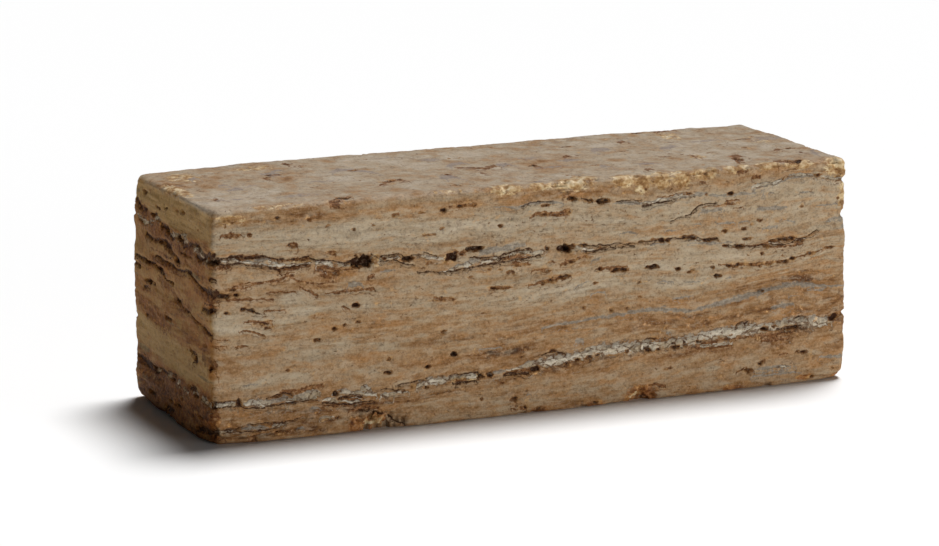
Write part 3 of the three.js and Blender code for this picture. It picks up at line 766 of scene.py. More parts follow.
DARK_LEFT = stroke_rows(
    "4 178 1.2, 12 175 1.4, 20 171.6 1.5, 28 171.5 1.2, 36 173.5 0.8",
    "44 171 0.8, 50 171.5 0.8, 56 172.5 0.7, 62 175 0.6",
    "68 165.5 0.8, 78 166.5 1.8, 86 166 2.4, 92 162 2, 98 160 1.4, 105 161 1",
    "111 166 0.6, 117 164 1.2, 122 160 2.2, 130 159.5 2.4, 138 161 2.2, 146 164 1.4, 152 165 1.4, "
    "160 165.5 1, 167 164 1.2, 174 160 1.2, 179 159.5 1.4, 187 161.5 2.2, 199 161.7 2.5",
    "155 157 0.8, 164 155 1.4, 171 155.5 1.1, 177 157.5 0.7",
    "29 151.5 1.2, 38 151 1.4, 46 149.5 0.9, 56 150.5 0.8, 66 152.5 0.8, 76 153.3 0.9, "
    "84 150.5 2.4, 92 149.5 1.8, 100 147 0.8, 108 146 0.9, 114 143.5 1.6, 119 142.3 0.7",
    "54 137 0.4, 66 137 0.9, 74 135.5 1, 80 136 0.7, 92 136 1.1, 102 136.5 1.1, 109 134.5 0.7, "
    "118 136 0.8, 128 137.5 0.8, 136 139 0.7, 144 138.3 0.9, 150 136 1.2, 158 133.5 1, "
    "166 131.5 1, 175 130.5 1.2, 184 131.5 2.3, 199 131.2 3",
    "3 127.5 0.7, 12 128 0.8, 20 127.5 1.4, 28 128 1.4, 36 127 1.1, 43 128 1, 51 129.3 0.6, "
    "60 127 0.8, 70 127 1, 78 124 1.4, 83 121 0.7, 92 121 0.6, 103 121 0.5",
    "-1 121 0.9, 10 121.3 0.8, 18 121 0.5",
    "31 110.5 0.8, 40 112 0.9, 56 111.5 0.4",
    "24 103.5 0.8, 34 104.5 0.8, 43 104.5 0.4",
    "104 108.5 0.9, 110 108.5 1, 117 105.6 1.4, 124 104 0.7, 131 103.8 1, 140 103.5 0.5, "
    "150 101 0.5, 160 99 0.5, 170 97 0.6, 180 95.5 0.7, 192 95.4 0.9",
    "170 113.5 0.8, 177 115 0.8, 184 114.5 1.4, 197 116.5 1.4",
    "3 38 0.9, 12 38 1.7, 22 37.5 2.5, 30 35 2.5, 40 34.5 2, 49 33 1, 57 32.8 0.8, 62 38.5 1.2, "
    "70 38.5 1.5, 78 38.5 0.9, 86 41 0.9, 96 42.3 0.9, 107 42 0.8",
    "138 40.2 0.8, 148 41 1.6, 155 41.4 1",
    "178 37.2 0.7, 186 35.5 1.2, 199 36 1.5",
    "78 8 1.2, 86 9 2.6, 93 9.5 1.6, 100 10 0.8",
    "158 9 1.2, 172 10 2, 199 11 2.8",
    "81 183 0.5, 87 183.6 0.6",
    "143 70.5 0.7, 150 71.3 1.6, 157 70 2, 160 67.5 1",
    "147 63.2 0.4, 153 64.4 0.9, 159 66 1",
)

# Brown and reddish stains
BROWN_FRONT = stroke_rows(
    "-5 153 2.6, 4 153 2.4, 12 152.8 1.4, 18 152.3 0.6",
    "409 180.5 0.3, 422 179.4 0.4, 437 182 0.4, 450 181.2 0.3",
    "506 184.4 0.3, 516 182.4 0.4, 534 184.4 0.4, 538 188.4 0.4, 543 187.5 0.4",
    "570 186.7 0.4, 581 182.6 0.5, 588 180.6 0.4, 598 179.8 0.6",
    "455 167.6 0.3, 477 167.8 0.5, 486 168.6 0.4",
    "510 163.5 0.3, 530 161 0.4",
    "20 160 1.6, 34 158.6 1.6, 46 158.2 1.5, 58 154.2 1, 72 153.6 1.2, 88 153.8 1.4",
    "58 146 1, 66 145.8 1.4, 76 146.8 1, 88 147 0.6",
    "90 143.5 1.2, 96 143.8 1.4, 102 144.8 1.5, 108 143.4 1.5, 115 141.7 1.3, 122 141.2 1.1, "
    "131 142.4 1.2, 142 142.6 0.7",
    "95 141 1, 99 138 2, 105 136.4 1.9, 112 135.2 1.2",
    "14 132.6 1, 19 134.6 1.6, 24 136.4 0.9, 31 137.7 0.7, 37 136.9 1.2, 44 136.4 1.1, "
    "50 136.4 1.2, 56 137 1.4, 62 138.6 0.9, 67 140.6 0.8, 71 139 1.4, 75 136 1.2, 80 134.3 0.8, "
    "87 132.2 0.7, 93 131.2 0.7, 101 131 0.6, 109 132.3 0.4",
    "20 134 0.5, 28 133.4 0.7, 35 134.6 0.8",
    "262 138 0.8, 271 138.6 1.4, 279 138.9 1.5, 286 138 1, 292 137.3 0.5",
    "273 132.2 0.8, 280 131.8 1.3, 284 131.6 1, 289 132.8 0.7",
    "309 131.3 0.8, 315 131.2 0.8",
    "318 127.5 0.9, 323 130.4 1.3, 329 131 0.8, 338 132.4 1.1, 344 133.4 0.9",
    "288 113 0.7, 296 113.5 1, 304 115 1.5, 312 115.3 1.8, 320 116.4 1.5, 330 117.4 0.8",
    "352 121 0.6, 362 121.8 0.8, 372 120.6 1, 384 121.4 1",
    "292 124.6 0.9, 300 125 1, 306 124 0.7",
    "251 113 1.6, 258 113.2 1.3, 270 113 0.6",
    "199 110.5 0.8, 208 108.5 1, 219 107 0.7",
    "289 171 0.6, 296 173.8 1.1, 304 175 1.2, 311 172.8 1, 318 170.6 1, 327 171.6 0.8",
    "307 173.8 0.8, 316 173.2 0.8, 323 174.4 1.3, 328 175.6 0.8",
    "213 187 0.8, 224 187 1, 233 187.6 1.2, 238 188 0.8",
    "320 187.4 0.8, 325 186.8 1.2, 330 185.6 1",
    "7 178.8 1.2, 13 178.4 1.5, 20 178.6 1.3, 27 178.2 0.8",
    "66 165.4 1, 72 166.8 1.6, 77 165 1",
    "101 157 0.8, 106 156.6 1.5, 111 155.4 1.1",
    "453 189.6 0.8, 460 189 0.9",
    "504 189.3 1, 509 189.6 1.1, 514 189.4 0.9",
    "489 196 0.8, 495 195 1.2, 502 196.4 0.8",
    "478 170.6 0.6, 486 171.4 0.8, 493 170.4 0.4",
    "485 163.8 0.4, 497 163.8 0.7",
    "519 126.4 0.8, 528 126.2 1.2, 537 125.6 1.3, 548 126.2 1.3, 556 127 0.9",
    "492 129 0.8, 503 128.8 1, 514 129 0.8, 524 131.4 0.8, 533 131.6 0.8",
    "472 115 0.7, 486 112.8 1.3, 500 112.4 1.2, 514 111.4 1.1, 526 112.2 1, 540 113 0.8, "
    "553 115.4 0.6, 566 117 0.8, 576 119.6 0.6, 585 122 0.8",
    "220 35.4 1.6, 226 34.2 1.8, 232 34.6 1.2",
    "268 37 1.4, 276 37.6 1.9, 284 38.2 1.8, 292 37.4 1.4",
    "60 41.4 1, 74 41.8 1.4, 88 42.8 1.6, 100 43.6 1",
    "98 26.2 1, 112 25.4 1.1, 126 23.8 1.1, 140 24.6 0.8",
    "116 30.4 1.2, 122 30.2 1.8, 130 29.4 1.6, 136 31 0.8",
    "296 40.4 0.9, 304 39.4 1.1, 316 38.8 0.9, 326 39.8 1.1, 337 42.6 1, 348 43.4 1.1",
    "440 42.8 1, 456 44.6 1.4, 466 47 1.4, 478 47.6 1, 492 47.4 0.9, 510 47.6 1.1",
    "512 48.6 1.6, 528 46 1.6, 542 48.4 1.8, 554 50 1.3",
    "450 41 0.7, 470 40.8 0.9, 486 41.6 0.7",
    "514 42.2 1, 528 41.6 1.3, 544 42.2 0.9",
    "122 17.6 0.8, 132 20.4 1.4, 144 20.4 1.2, 153 17.4 1",
    "490 15.6 0.7, 496 17.4 1, 499 20.6 0.9, 504 17 1.2, 509 15.4 0.9",
    "512 21.4 0.9, 517 23.6 1.1, 520 25.6 0.5",
    "533 27.8 0.5, 543 28.2 0.7",
    "270 13.6 0.8, 275 12.6 1.7, 278 11.6 0.8",
    "272 6 0.8, 280 4.4 0.8, 288 2.6 1.1",
    "293 1.4 1.6, 300 3 2.2, 305 2 1.4",
    "30 2 1.6, 36 3.4 3.4, 41 3 2",
    "65 8 0.9, 70 7.6 0.9",
    "404 13.4 0.8, 410 14 1.3, 416 12.6 0.9, 421 10.8 0.9",
    "139 132 0.8, 143 133.4 1.6, 147 134 0.8",
    "28 105 0.6, 36 104.6 1.1, 44 102.4 1.3, 54 100.4 1",
    "48 128 0.4, 60 127.4 0.9, 76 126 0.8",
    "100 122.6 0.6, 120 123 0.9, 142 122.4 0.8",
    "12 125 0.5, 26 123.6 0.9, 40 123 0.7, 56 121.4 0.6",
    "78 130 0.6, 86 126 1.1, 96 120.6 0.8",
    "24 96.6 0.7, 32 97 1, 40 93.6 0.8, 48 90.6 0.5",
    "116 110.6 0.8, 120 108 1.8, 124 106 0.8",
    "46 112.4 0.6, 56 112 1.2, 66 111.4 0.6",
    "-2 92.4 0.6, 8 91 0.5, 16 90.4 0.3",
    "-2 86.6 0.5, 7 86 0.5, 14 84.6 0.3",
    "20 84.4 0.6, 27 84 1, 33 83 0.6",
    "136 122.4 0.7, 142 122.6 1.3, 147 121.8 0.6",
)

BROWN_LEFT = stroke_rows(
    "6 177 2, 24 171 2.4, 44 168 3, 66 163 5, 84 158 5, 104 160 3, 120 156 2",
    "30 155 2.4, 48 157 4, 66 158 4, 84 153 3, 98 148 1.6",
    "10 163 1.6, 30 158 2.4, 50 162 2.6",
    "120 156 2.6, 140 157 3.4, 160 154 2.4",
    "40 134 1.4, 60 134 2, 90 134.6 1.8, 110 133 1.6",
    "130 146 1, 150 143 1.6, 176 141 1.2",
    "150 128 1.4, 170 127 2.6, 197 128 3.4",
    "60 118 1, 84 117 1.8, 104 115 1.4",
    "98 110 2, 114 106 3.4, 132 105 2.4, 144 107 1.4",
    "10 90 2, 40 86 4, 74 84 5, 96 83 3",
    "0 34 4, 30 31 5, 60 30 4, 100 34 4, 140 32 4, 197 30 4",
    "20 14 5, 60 12 6, 100 16 6, 150 17 5, 197 14 5",
    "170 74 2, 184 71 3, 199 68 4",
)
BROWN_TOP = stroke_rows(
    "106 2 3, 112 5 4, 120 9 3.4, 129 15 2.4",
    "171 50 2, 179 57 2.4, 187 63 3.4, 200 65 4",
    "498 14 2, 503 24 5, 507 34 6, 511 44 7, 519 48 5",
    "241 68 5, 246 71 6",
    "90 112 3, 96 120 4",
    "130 172 5, 137 172 7",
    "328 79 4, 334 81 5",
    "476 58 4, 481 66 7",
    "574 38 3, 579 42 5",
    "272 64 4, 277 68 4",
    "262 98 2, 274 92 3, 286 84 4, 300 92 4",
    "530 10 3, 540 6 4, 552 4 3",
    "500 182 4, 512 188 5, 524 186 4",
    "556 56 3, 566 62 4",
    "446 150 3, 456 154 4",
    "20 50 3, 27 56 4",
    "370 104 4, 380 110 4",
    "412 24 3, 420 28 3",
)

# Lenses and bands of grey clay
GREY_FRONT = stroke_rows(
    "26 13.6 0.8, 34 13.4 2.2, 42 13.3 2.6, 51 13.6 1",
    "49 33.6 1.6, 57 35 2.6, 64 36 3.3, 69 34.6 1.4",
    "255 38.8 1.2, 261 39 2.4, 268 39 1",
    "37 156 0.6, 45 156.3 1.6, 53 156 0.8",
    "240 144.6 1.6, 256 146 2.8, 272 148 3.2, 287 149.4 1.6",
    "214 134 0.8, 224 136 1.8, 236 138 2.6, 243 138.6 1.4",
    "374 150.4 0.6, 382 150.8 1.2, 393 150 0.9",
    "404 138.6 1, 412 138 1, 420 137 0.6",
    "440 136.4 0.7, 454 136 1, 466 134.8 1.8, 472 134 0.8, 486 134.2 0.5",
    "255 184 0.4, 268 181.6 0.7, 280 180.6 1, 288 183 1.4, 300 184 1.5, 314 183 1.3, 323 181 1.2",
    "368 177.6 0.8, 380 177 1.1, 396 175.2 1.2, 410 176.4 1.1, 424 177.4 1.3, 446 179 1.4, "
    "458 179 1.5, 470 176.4 1.4, 482 175.6 1.9, 496 176.4 1.4, 509 175.8 0.6",
    "503 181 0.8, 510 182 1.8, 518 181.6 1, 532 183.4 1, 541 186 1, 552 186.6 1.1, 564 186 0.7",
    "514 174.6 1.6, 518 174.8 1.7",
    "520 174.9 1, 526 175 0.8",
    "550 172.3 1, 558 172.4 1.2, 567 171.6 0.8",
    "451 163.4 1.8, 458 163.8 2.6, 468 163.4 2.1, 478 163.6 0.8",
    "508 162 1, 516 161.8 2, 527 160.8 1.9, 541 160.3 0.8",
    "568 159.6 0.5, 580 159 1.1, 592 159.6 0.8",
    "579 144.6 0.6, 588 145.8 2.4, 600 146 3.4",
    "418 149.6 0.8, 425 149.4 1.4, 430 149 0.6",
    "446 153 0.5, 455 152.4 0.8",
    "468 152 0.5, 478 151.2 1.3, 488 151 0.6",
    "492 151.2 1, 503 151.4 0.8",
    "534 149.6 0.8, 542 148 1.2, 549 146.4 0.7",
    "514 143.6 1, 524 144 1.6, 531 144.6 0.6",
    "572 22 1.6, 583 21.6 1.8, 600 20.6 1.6",
    "508 17 0.6, 518 17 1.6, 528 17.6 1.8, 542 16.6 1, 552 15.6 0.6",
    "504 11.4 0.8, 520 10.6 1.4, 540 11 1.4, 556 9.6 0.7",
    "286 17 1, 292 17 0.8",
    "88 25 1, 93 24.8 1.6, 98 24 0.8",
    "74 10 1.4, 78 9.8 1.8, 82 10 0.9",
    "300 74.6 1, 320 76 1.6, 345 77.6 1.2, 360 78.6 1.6, 400 81 2, 415 80 2.2, 430 78 1.8, "
    "445 76 1.4, 458 78 1.8, 475 80.6 2.4, 500 84 2.6, 520 88 2, 532 89 2, 545 90.3 2.4, "
    "565 88.4 1.8, 582 86 1.2, 600 85 0.8",
    "412 104.6 0.6, 420 104.2 1.2, 429 103.4 0.6",
    "438 102.2 0.5, 448 101.8 0.9, 454 101.6 0.5",
    "480 102.4 1.2, 486 102.8 1.2",
    "426 89 0.8, 438 89 1.4, 448 89.4 0.7",
    "524 71.6 0.8, 536 72.8 2.2, 548 73.6 1.4",
    "560 83.4 0.7, 569 83.4 1, 577 82.8 0.5",
    "332 59.6 2, 336 60.4 3.4, 341 59.4 1.6",
    "240 61.4 0.4, 254 61.2 0.8, 266 60.4 0.4",
    "26 50.6 0.4, 34 50.8 0.9, 42 50 0.4",
    "120 128 1.4, 128 128.4 2.2, 136 127 1",
    "150 137 1, 157 136.6 1.6, 164 137 0.6",
    "332 105.6 0.7, 338 108 1.6, 346 111.6 0.8",
    "348 99.4 1, 356 100.6 1.6, 364 99 0.8",
    "346 127.6 0.8, 352 129.4 1, 358 131.6 0.6",
    "420 59 1.2, 426 59.2 1.4",
    "464 55.6 0.8, 470 57 2.2, 476 55.8 1",
    "412 49.6 1, 420 50.4 2.4, 428 50 2.4, 434 50.6 1.4",
    "350 51.8 1, 362 52.2 1.6, 380 52 1.6, 400 51.8 1.6",
    "314 46.8 1, 322 46.4 1.8, 332 46.4 1.6, 342 46.8 0.8",
    "438 51.4 0.8, 446 51.4 1.4, 454 52 1",
    "532 56 1, 542 56.4 1.8, 550 55.4 0.8",
    "556 52 0.8, 563 52 1.8, 570 54 1",
)

GREY_TOP = stroke_rows(
    "96 142 3, 104 136 5, 112 146 4, 119 150 5",
    "98 124 3, 106 126 4, 112 130 3",
    "44 84 3, 54 88 5, 61 92 8",
    "44 110 3, 54 106 4",
    "152 118 4, 168 130 9, 186 112 8, 192 104 5",
    "230 60 6, 240 58 12, 248 62 8",
    "256 100 5, 266 112 6, 282 118 5",
    "300 96 10, 316 92 8",
    "404 122 5, 418 126 10, 428 124 6",
    "466 108 6, 476 106 7, 490 120 5",
    "414 50 4, 424 48 5, 436 46 3",
    "30 140 6, 40 146 5",
    "580 26 8, 592 40 10",
    "380 56 5, 390 50 6",
)

# Golden crystals on the worn edges, and rust where pieces broke away: centre, half sizes, and
# the strength where it is less than 1
GOLDEN = [
    ((146, 0, 6), (10, 6, 7)), ((392, 0, 6), (7, 5, 4), 0.7), ((268, 0, 200), (16, 12, 8)),
    ((300, 0, 200), (14, 9, 6)), ((330, 0, 200), (20, 14, 9)), ((345, 8, 201), (10, 16, 5)),
    ((378, 0, 198), (11, 12, 8)), ((397, 0, 196), (9, 12, 12)), ((417, 0, 196), (10, 13, 10)),
    ((436, 0, 197), (10, 12, 13)), ((459, 0, 199), (13, 12, 8)), ((490, 0, 200), (14, 9, 6)),
    ((520, 0, 200), (14, 9, 5)), ((550, 0, 199), (16, 9, 6)), ((592, 0, 194), (14, 12, 12)),
    ((598, 0, 165), (7, 10, 16)), ((147, 0, 147), (5, 6, 5)), ((211, 0, 142), (4, 6, 4)),
    ((230, 0, 36.5), (17, 6, 3.4)), ((316, 0, 41), (12, 6, 2.6)), ((5, 100, 200), (10, 30, 6), 0.9),
    ((16, 0, 191), (16, 8, 4), 0.7), ((80, 0, 152.6), (14, 5, 2)), ((31, 0, 34.6), (4, 5, 2)),
    ((412, 0, 48), (7, 5, 2)), ((505, 160, 200), (10, 20, 3), 0.5),
    ((480, 60, 200), (8, 12, 3), 0.5), ((215, 0, 200), (20, 7, 3), 0.5),
    ((60, 0, 200), (30, 8, 3), 0.5), ((100, 165, 200), (20, 10, 3), 0.5),
    ((30, 150, 200), (14, 22, 3), 0.5), ((570, 110, 200), (12, 14, 3), 0.5),
]
RUST = [
    ((146, 0, 3), (16, 9, 12)), ((128, 0, 6), (6, 8, 8)), ((398, 0, 4), (17, 10, 11)),
    ((0, 0, 118), (5, 8, 4)), ((0, 0, 67), (4, 6, 4)), ((0, 6, 22), (9, 12, 7)),
    ((0, 6, 6), (9, 10, 8)), ((299, 0, 2), (8, 8, 4)), ((352, 0, 2), (9, 8, 3)),
    ((595, 0, 3), (8, 8, 4)), ((488, 0, 2), (12, 8, 3)), ((560, 0, 5), (10, 8, 3)),
    ((115, 4, 199), (5, 7, 2), 0.6), ((508, 30, 200), (4, 14, 2), 0.6),
    ((508, 46, 200), (7, 5, 2), 0.6), ((192, 66, 200), (7, 5, 2), 0.6),
    ((245, 70, 200), (4, 4, 2), 0.6), ((332, 80, 200), (4, 4, 2), 0.6),
    ((92, 116, 200), (5, 5, 2), 0.6), ((104, 128, 200), (6, 4, 2), 0.6),
    ((598, 0, 178), (5, 12, 4)),
]

BLOB_REACH = 1.3  # of its half sizes, squared, to where a blob has faded out
LENSES_ON_SIDES = 90
LENSES_ON_TOP = 30
LENS_DEPTH = 14

FRONT_FADE = 40  # how far in from the front face its broad stains go
LEFT_FADE = 30  # how far in from the left end its own bands go
TINT_FALL = 1.2  # how steeply a broad stain fades towards its edge
TOP_TONE = -0.5

FAR = 4  # half widths: no stroke shows further off than this
STRAY = 0.6  # how far strokes stray to either side
SWELL = 0.5  # how much wider or narrower they get
SWOLLEN = 1.6  # strokes of a larger half width swell no more than one of this
LEAST_HALF_WIDTH = 0.5
ROUND_CORNER = 5  # how far a stroke goes on round the corner between the front and the left end
CORNER_RAGS = dict(height=4, length=5, rise=5, seed=60)
BROKEN_SHIFT = 6  # how far a hidden seam is moved out of its own stroke where it dies out


def blobs(places, shapes):
    """The strongest of many soft-edged blobs at each place, from 0 outside to 1 in the middle."""
    field = np.zeros(places.shape[1])
    for centre, half_sizes, *strength in shapes:
        away = sum(((p - c) / half) ** 2 for p, c, half in zip(places, centre, half_sizes))
        soft = np.clip(BLOB_REACH - away, 0, BLOB_REACH) / BLOB_REACH
        field = np.maximum(field, soft * strength[0] if strength else soft)
    return field


def random_lenses():
    """Lenses of grey clay in the hidden faces and the top."""
    rng = np.random.default_rng(17)
    lenses = []
    for _ in range(LENSES_ON_SIDES):
        along, back, facing = point_on_sides(rng)
        long, rise = rng.uniform(8, 26), rng.uniform(1.2, 3.4)
        half_sizes = (long, LENS_DEPTH, rise) if facing == 1 else (LENS_DEPTH, long, rise)
        if back > 0:
            up = rng.uniform(8, HEIGHT - 10)
            lenses.append(((along, back, up), half_sizes, rng.uniform(0.4, 1)))
    for _ in range(LENSES_ON_TOP):
        place = (rng.uniform(0, LENGTH), rng.uniform(0, DEPTH), HEIGHT)
        half_sizes = (rng.uniform(14, 40), rng.uniform(5, 16), 6)
        lenses.append((place, half_sizes, rng.uniform(0.2, 0.5)))
    return lenses


def tone_field(places):
    """How warm the stone is at each place, on the scale of TONE_BY_BED."""
    along, back, up = places
    bed = bedding(places)
    tone = on_line(TONE_BY_BED, bed)
    near_front = smooth(1 - back / FRONT_FADE)
    for tint_along, tint_up, half_long, half_rise, strength in FRONT_TINTS:
        away = ((along - tint_along) / half_long) ** 2 + ((up - tint_up) / half_rise) ** 2
        tone += near_front * strength * np.exp(-TINT_FALL * away)
    inner = 0.5 * noise(along / 80 + 20, back / 60, bed / 9)
    inner += 0.25 * noise(along / 30, back / 30, bed / 4)
    tone += (1 - near_front) * inner
    near_left = smooth(1 - along / LEFT_FADE) * smooth(back / 12)
    left_tone = on_line(LEFT_TONE, up + on_line(LEFT_DIP, back))
    tone += near_left * (left_tone - tone) * LEFT_SHARE
    top_tone = TOP_TONE + 0.4 * noise(along / 50, back / 30, 3.3)
    top_tone += 0.45 * noise(along / 9, back / 12, 8.1) + 0.45 * noise(along / 4.5, back / 6, 2.7)
    on_top = smooth((up - HEIGHT + 7) / 6) * smooth(np.minimum(back, 24) / 24 + 0.25)
    return tone + on_top * (top_tone - tone)


def stroke_field(places, on_front, on_left=(), on_top=(), seams=(), left_width=1):
    """How many half widths above or below the nearest stroke a place is, and if one is near."""
    along, back, up = places
    gap = np.full(along.shape, float(FAR))
    near = np.zeros(along.shape)
    stray = STRAY * (noise(*places / 3.3 + 40) + 0.7 * noise(*places / 1.7))
    swell = SWELL * noise(*places / 5.5 + 80)

    def lay(beside, offset, half_width):
        width = half_width + swell[beside] * np.minimum(half_width, SWOLLEN)
        height = (offset + stray[beside]) / width
        closer = abs(height) < abs(gap[beside])
        gap[beside[closer]] = height[closer]
        near[beside[abs(height) < FAR - 0.5]] = 1

    round_corner = ROUND_CORNER + waves(places, **CORNER_RAGS)
    in_reach = np.where(np.minimum(along, back) < 3, round_corner, FACE_REACH)
    for run, across, rise, strokes, widened, reach in (
        (along, back, up, on_front, 1, in_reach),
        (DEPTH - back, along, up, on_left, left_width, in_reach),
        (along, 2 * (HEIGHT - up), back, on_top, 1, FACE_REACH),
    ):
        face = (across < reach).nonzero()[0]
        for stroke in strokes:
            starts, heights, half_widths = zip(*stroke)
            beside = face[(run[face] >= starts[0]) & (run[face] <= starts[-1])]
            middle = np.interp(run[beside], starts, heights)
            half_width = widened * np.interp(run[beside], starts, half_widths)
            lay(beside, rise[beside] - middle, half_width)
    hidden = ((np.minimum(along, back) >= FACE_REACH) & (up < HEIGHT - 3)).nonzero()[0]
    broken_off = 1 - unbroken(places[:, hidden])
    for seam, width in seams:
        lower, upper = seam.skins(along[hidden], back[hidden])
        half_width = np.maximum(width * (upper - lower) / 2, LEAST_HALF_WIDTH)
        lay(hidden, up[hidden] - (lower + upper) / 2 + BROKEN_SHIFT * broken_off, half_width)
    return gap, near


def colour_fields(places, strokes, pit):
    """What the material reads at each vertex."""
    along, back, up = places
    fields = {
        "bed": bedding(places),
        "tone": tone_field(places),
        "lens": blobs(places, random_lenses()),
        "gold": blobs(places, GOLDEN),
        "rust": blobs(places, RUST),
        "left_end": smooth(1 - along / 12) * smooth(back / 4) * smooth((HEIGHT - 1 - up) / 6),
        "pit": pit,
    }
    for name, (gap, near) in strokes.items():
        fields[name + "_gap"] = gap
        fields[name + "_near"] = near
    return fields


# ---- The stone's mesh ------------------------------------------------------------------------

TRIANGLES = 196_000  # of the finished mesh
THINNING_WEIGHT = 0.02
FRONT_THINNING = 0.1  # how readily faces are merged, from 0, never, to 1
FRONT_MARGIN = 9  # how far back from the front face that goes
LEFT_THINNING = 0.5
LEFT_MARGIN = 12

# Seams that show as strokes on the hidden faces, and their width as a share of the crust
HIDDEN_CRUSTS = [(UPPER_CRUST, 0.6), (LOWER_CRUST, 0.9), (TOP_SEAM, 0.7)]
HIDDEN_LINES = [(BASE_SEAM, 1.5), (HOLE_LINE, 1.5), (GREY_BAND, 0.3)]


def in_frame(places):
    """Millimetres in the row's frame, with the lean of the ends."""
    along, back, up = places
    lean = 1 - 2 * END_LEAN * up / (HEIGHT * LENGTH)
    middle_x, middle_y = (LOW[0] + HIGH[0]) / 2, (LOW[1] + HIGH[1]) / 2
    return np.stack([
        (along - LENGTH / 2) * lean + middle_x / MM,
        back - DEPTH / 2 + middle_y / MM,
        up + LOW[2] / MM,
    ], axis=1)


def mesh_from(points, quads, fields):
    """A mesh in millimetres, with a value of each field at every point."""
    mesh = bpy.data.meshes.new(NODE + "_stone")
    mesh.vertices.add(len(points))
    mesh.vertices.foreach_set("co", points.astype(np.float32).ravel())
    mesh.loops.add(quads.size)
    mesh.loops.foreach_set("vertex_index", quads.astype(np.int32).ravel())
    mesh.polygons.add(len(quads))
    mesh.polygons.foreach_set("loop_start", np.arange(0, quads.size, 4, dtype=np.int32))
    mesh.update(calc_edges=True)
    for name, values in fields.items():
        attribute = mesh.attributes.new(name, "FLOAT", "POINT")
        attribute.data.foreach_set("value", values.astype(np.float32))
    mesh.validate()
    return mesh


def thin_out(piece, triangles):
    """Merges faces, fewest on the front, until few enough are left."""
    mesh = piece.data
    count = 2 * len(mesh.polygons)
    if count <= triangles:
        return
    places = np.empty(3 * len(mesh.vertices), dtype=np.float32)
    mesh.vertices.foreach_get("co", places)
    x, y, _ = places.reshape(-1, 3).T
    front = y < FRONT_MARGIN - DEPTH / 2
    left = (x < LEFT_MARGIN - LENGTH / 2) & ~front
    group = piece.vertex_groups.new(name="thinning")
    for here, share in ((front, FRONT_THINNING), (left, LEFT_THINNING), (~front & ~left, 1)):
        group.add(here.nonzero()[0].tolist(), share, "REPLACE")
    modifier = piece.modifiers.new("thin_out", "DECIMATE")
    modifier.ratio = triangles / count
    modifier.vertex_group = group.name
    modifier.vertex_group_factor = THINNING_WEIGHT
    bpy.context.view_layer.objects.active = piece
    bpy.ops.object.modifier_apply(modifier=modifier.name)
    piece.vertex_groups.clear()


def make_stone(material):
    lattice, quads = box_lattice((LENGTH, DEPTH, HEIGHT), CELL)
    places, outward = round_edges(lattice)
    strokes = {
        "white": stroke_field(places, WHITE_FRONT, WHITE_LEFT, (), HIDDEN_CRUSTS, left_width=1.8),
        "dark": stroke_field(places, DARK_FRONT, DARK_LEFT, (), HIDDEN_LINES, left_width=1.35),
        "brown": stroke_field(places, BROWN_FRONT, BROWN_LEFT, BROWN_TOP, left_width=1.5),
        "grey": stroke_field(places, GREY_FRONT, (), GREY_TOP, [(GREY_BAND, 1)]),
    }
    deep, inside = deepest(places, outward, all_pits(), **PIT_RAGS)
    broken, _ = deepest(places, outward, BREAKS, **BREAK_RAGS)
    seams = seam_depth(places, strokes) * wear_share(lattice)
    depth = unevenness(places, lattice) + np.maximum(seams, deep) + broken + crumbling(places)
    worn = places - outward * depth
    worn[2] = np.maximum(worn[2], 0)
    mesh = mesh_from(in_frame(worn), quads, colour_fields(places, strokes, inside))
    stone = bpy.data.objects.new("stone", mesh)
    bpy.context.scene.collection.objects.link(stone)
    thin_out(stone, TRIANGLES)
    stone.data.transform(Matrix.Scale(MM, 4))
    stone.data.shade_smooth()
    stone.data.materials.append(material)
    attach(stone, "root")
    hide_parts(NODE)


# ---- Nodes -----------------------------------------------------------------------------------

FRONT_LIGHT = 1.06  # what the light makes of a white front face, so colours come out as listed


def linear(colour):
    """A colour of the stone, given as it is seen, in sRGB, ready for a shader's socket."""
    channels = [c / 255 for c in colour]
    channels = [c / 12.92 if c <= 0.04045 else ((c + 0.055) / 1.055) ** 2.4 for c in channels]
    return tuple(c / FRONT_LIGHT for c in channels) + (1,)


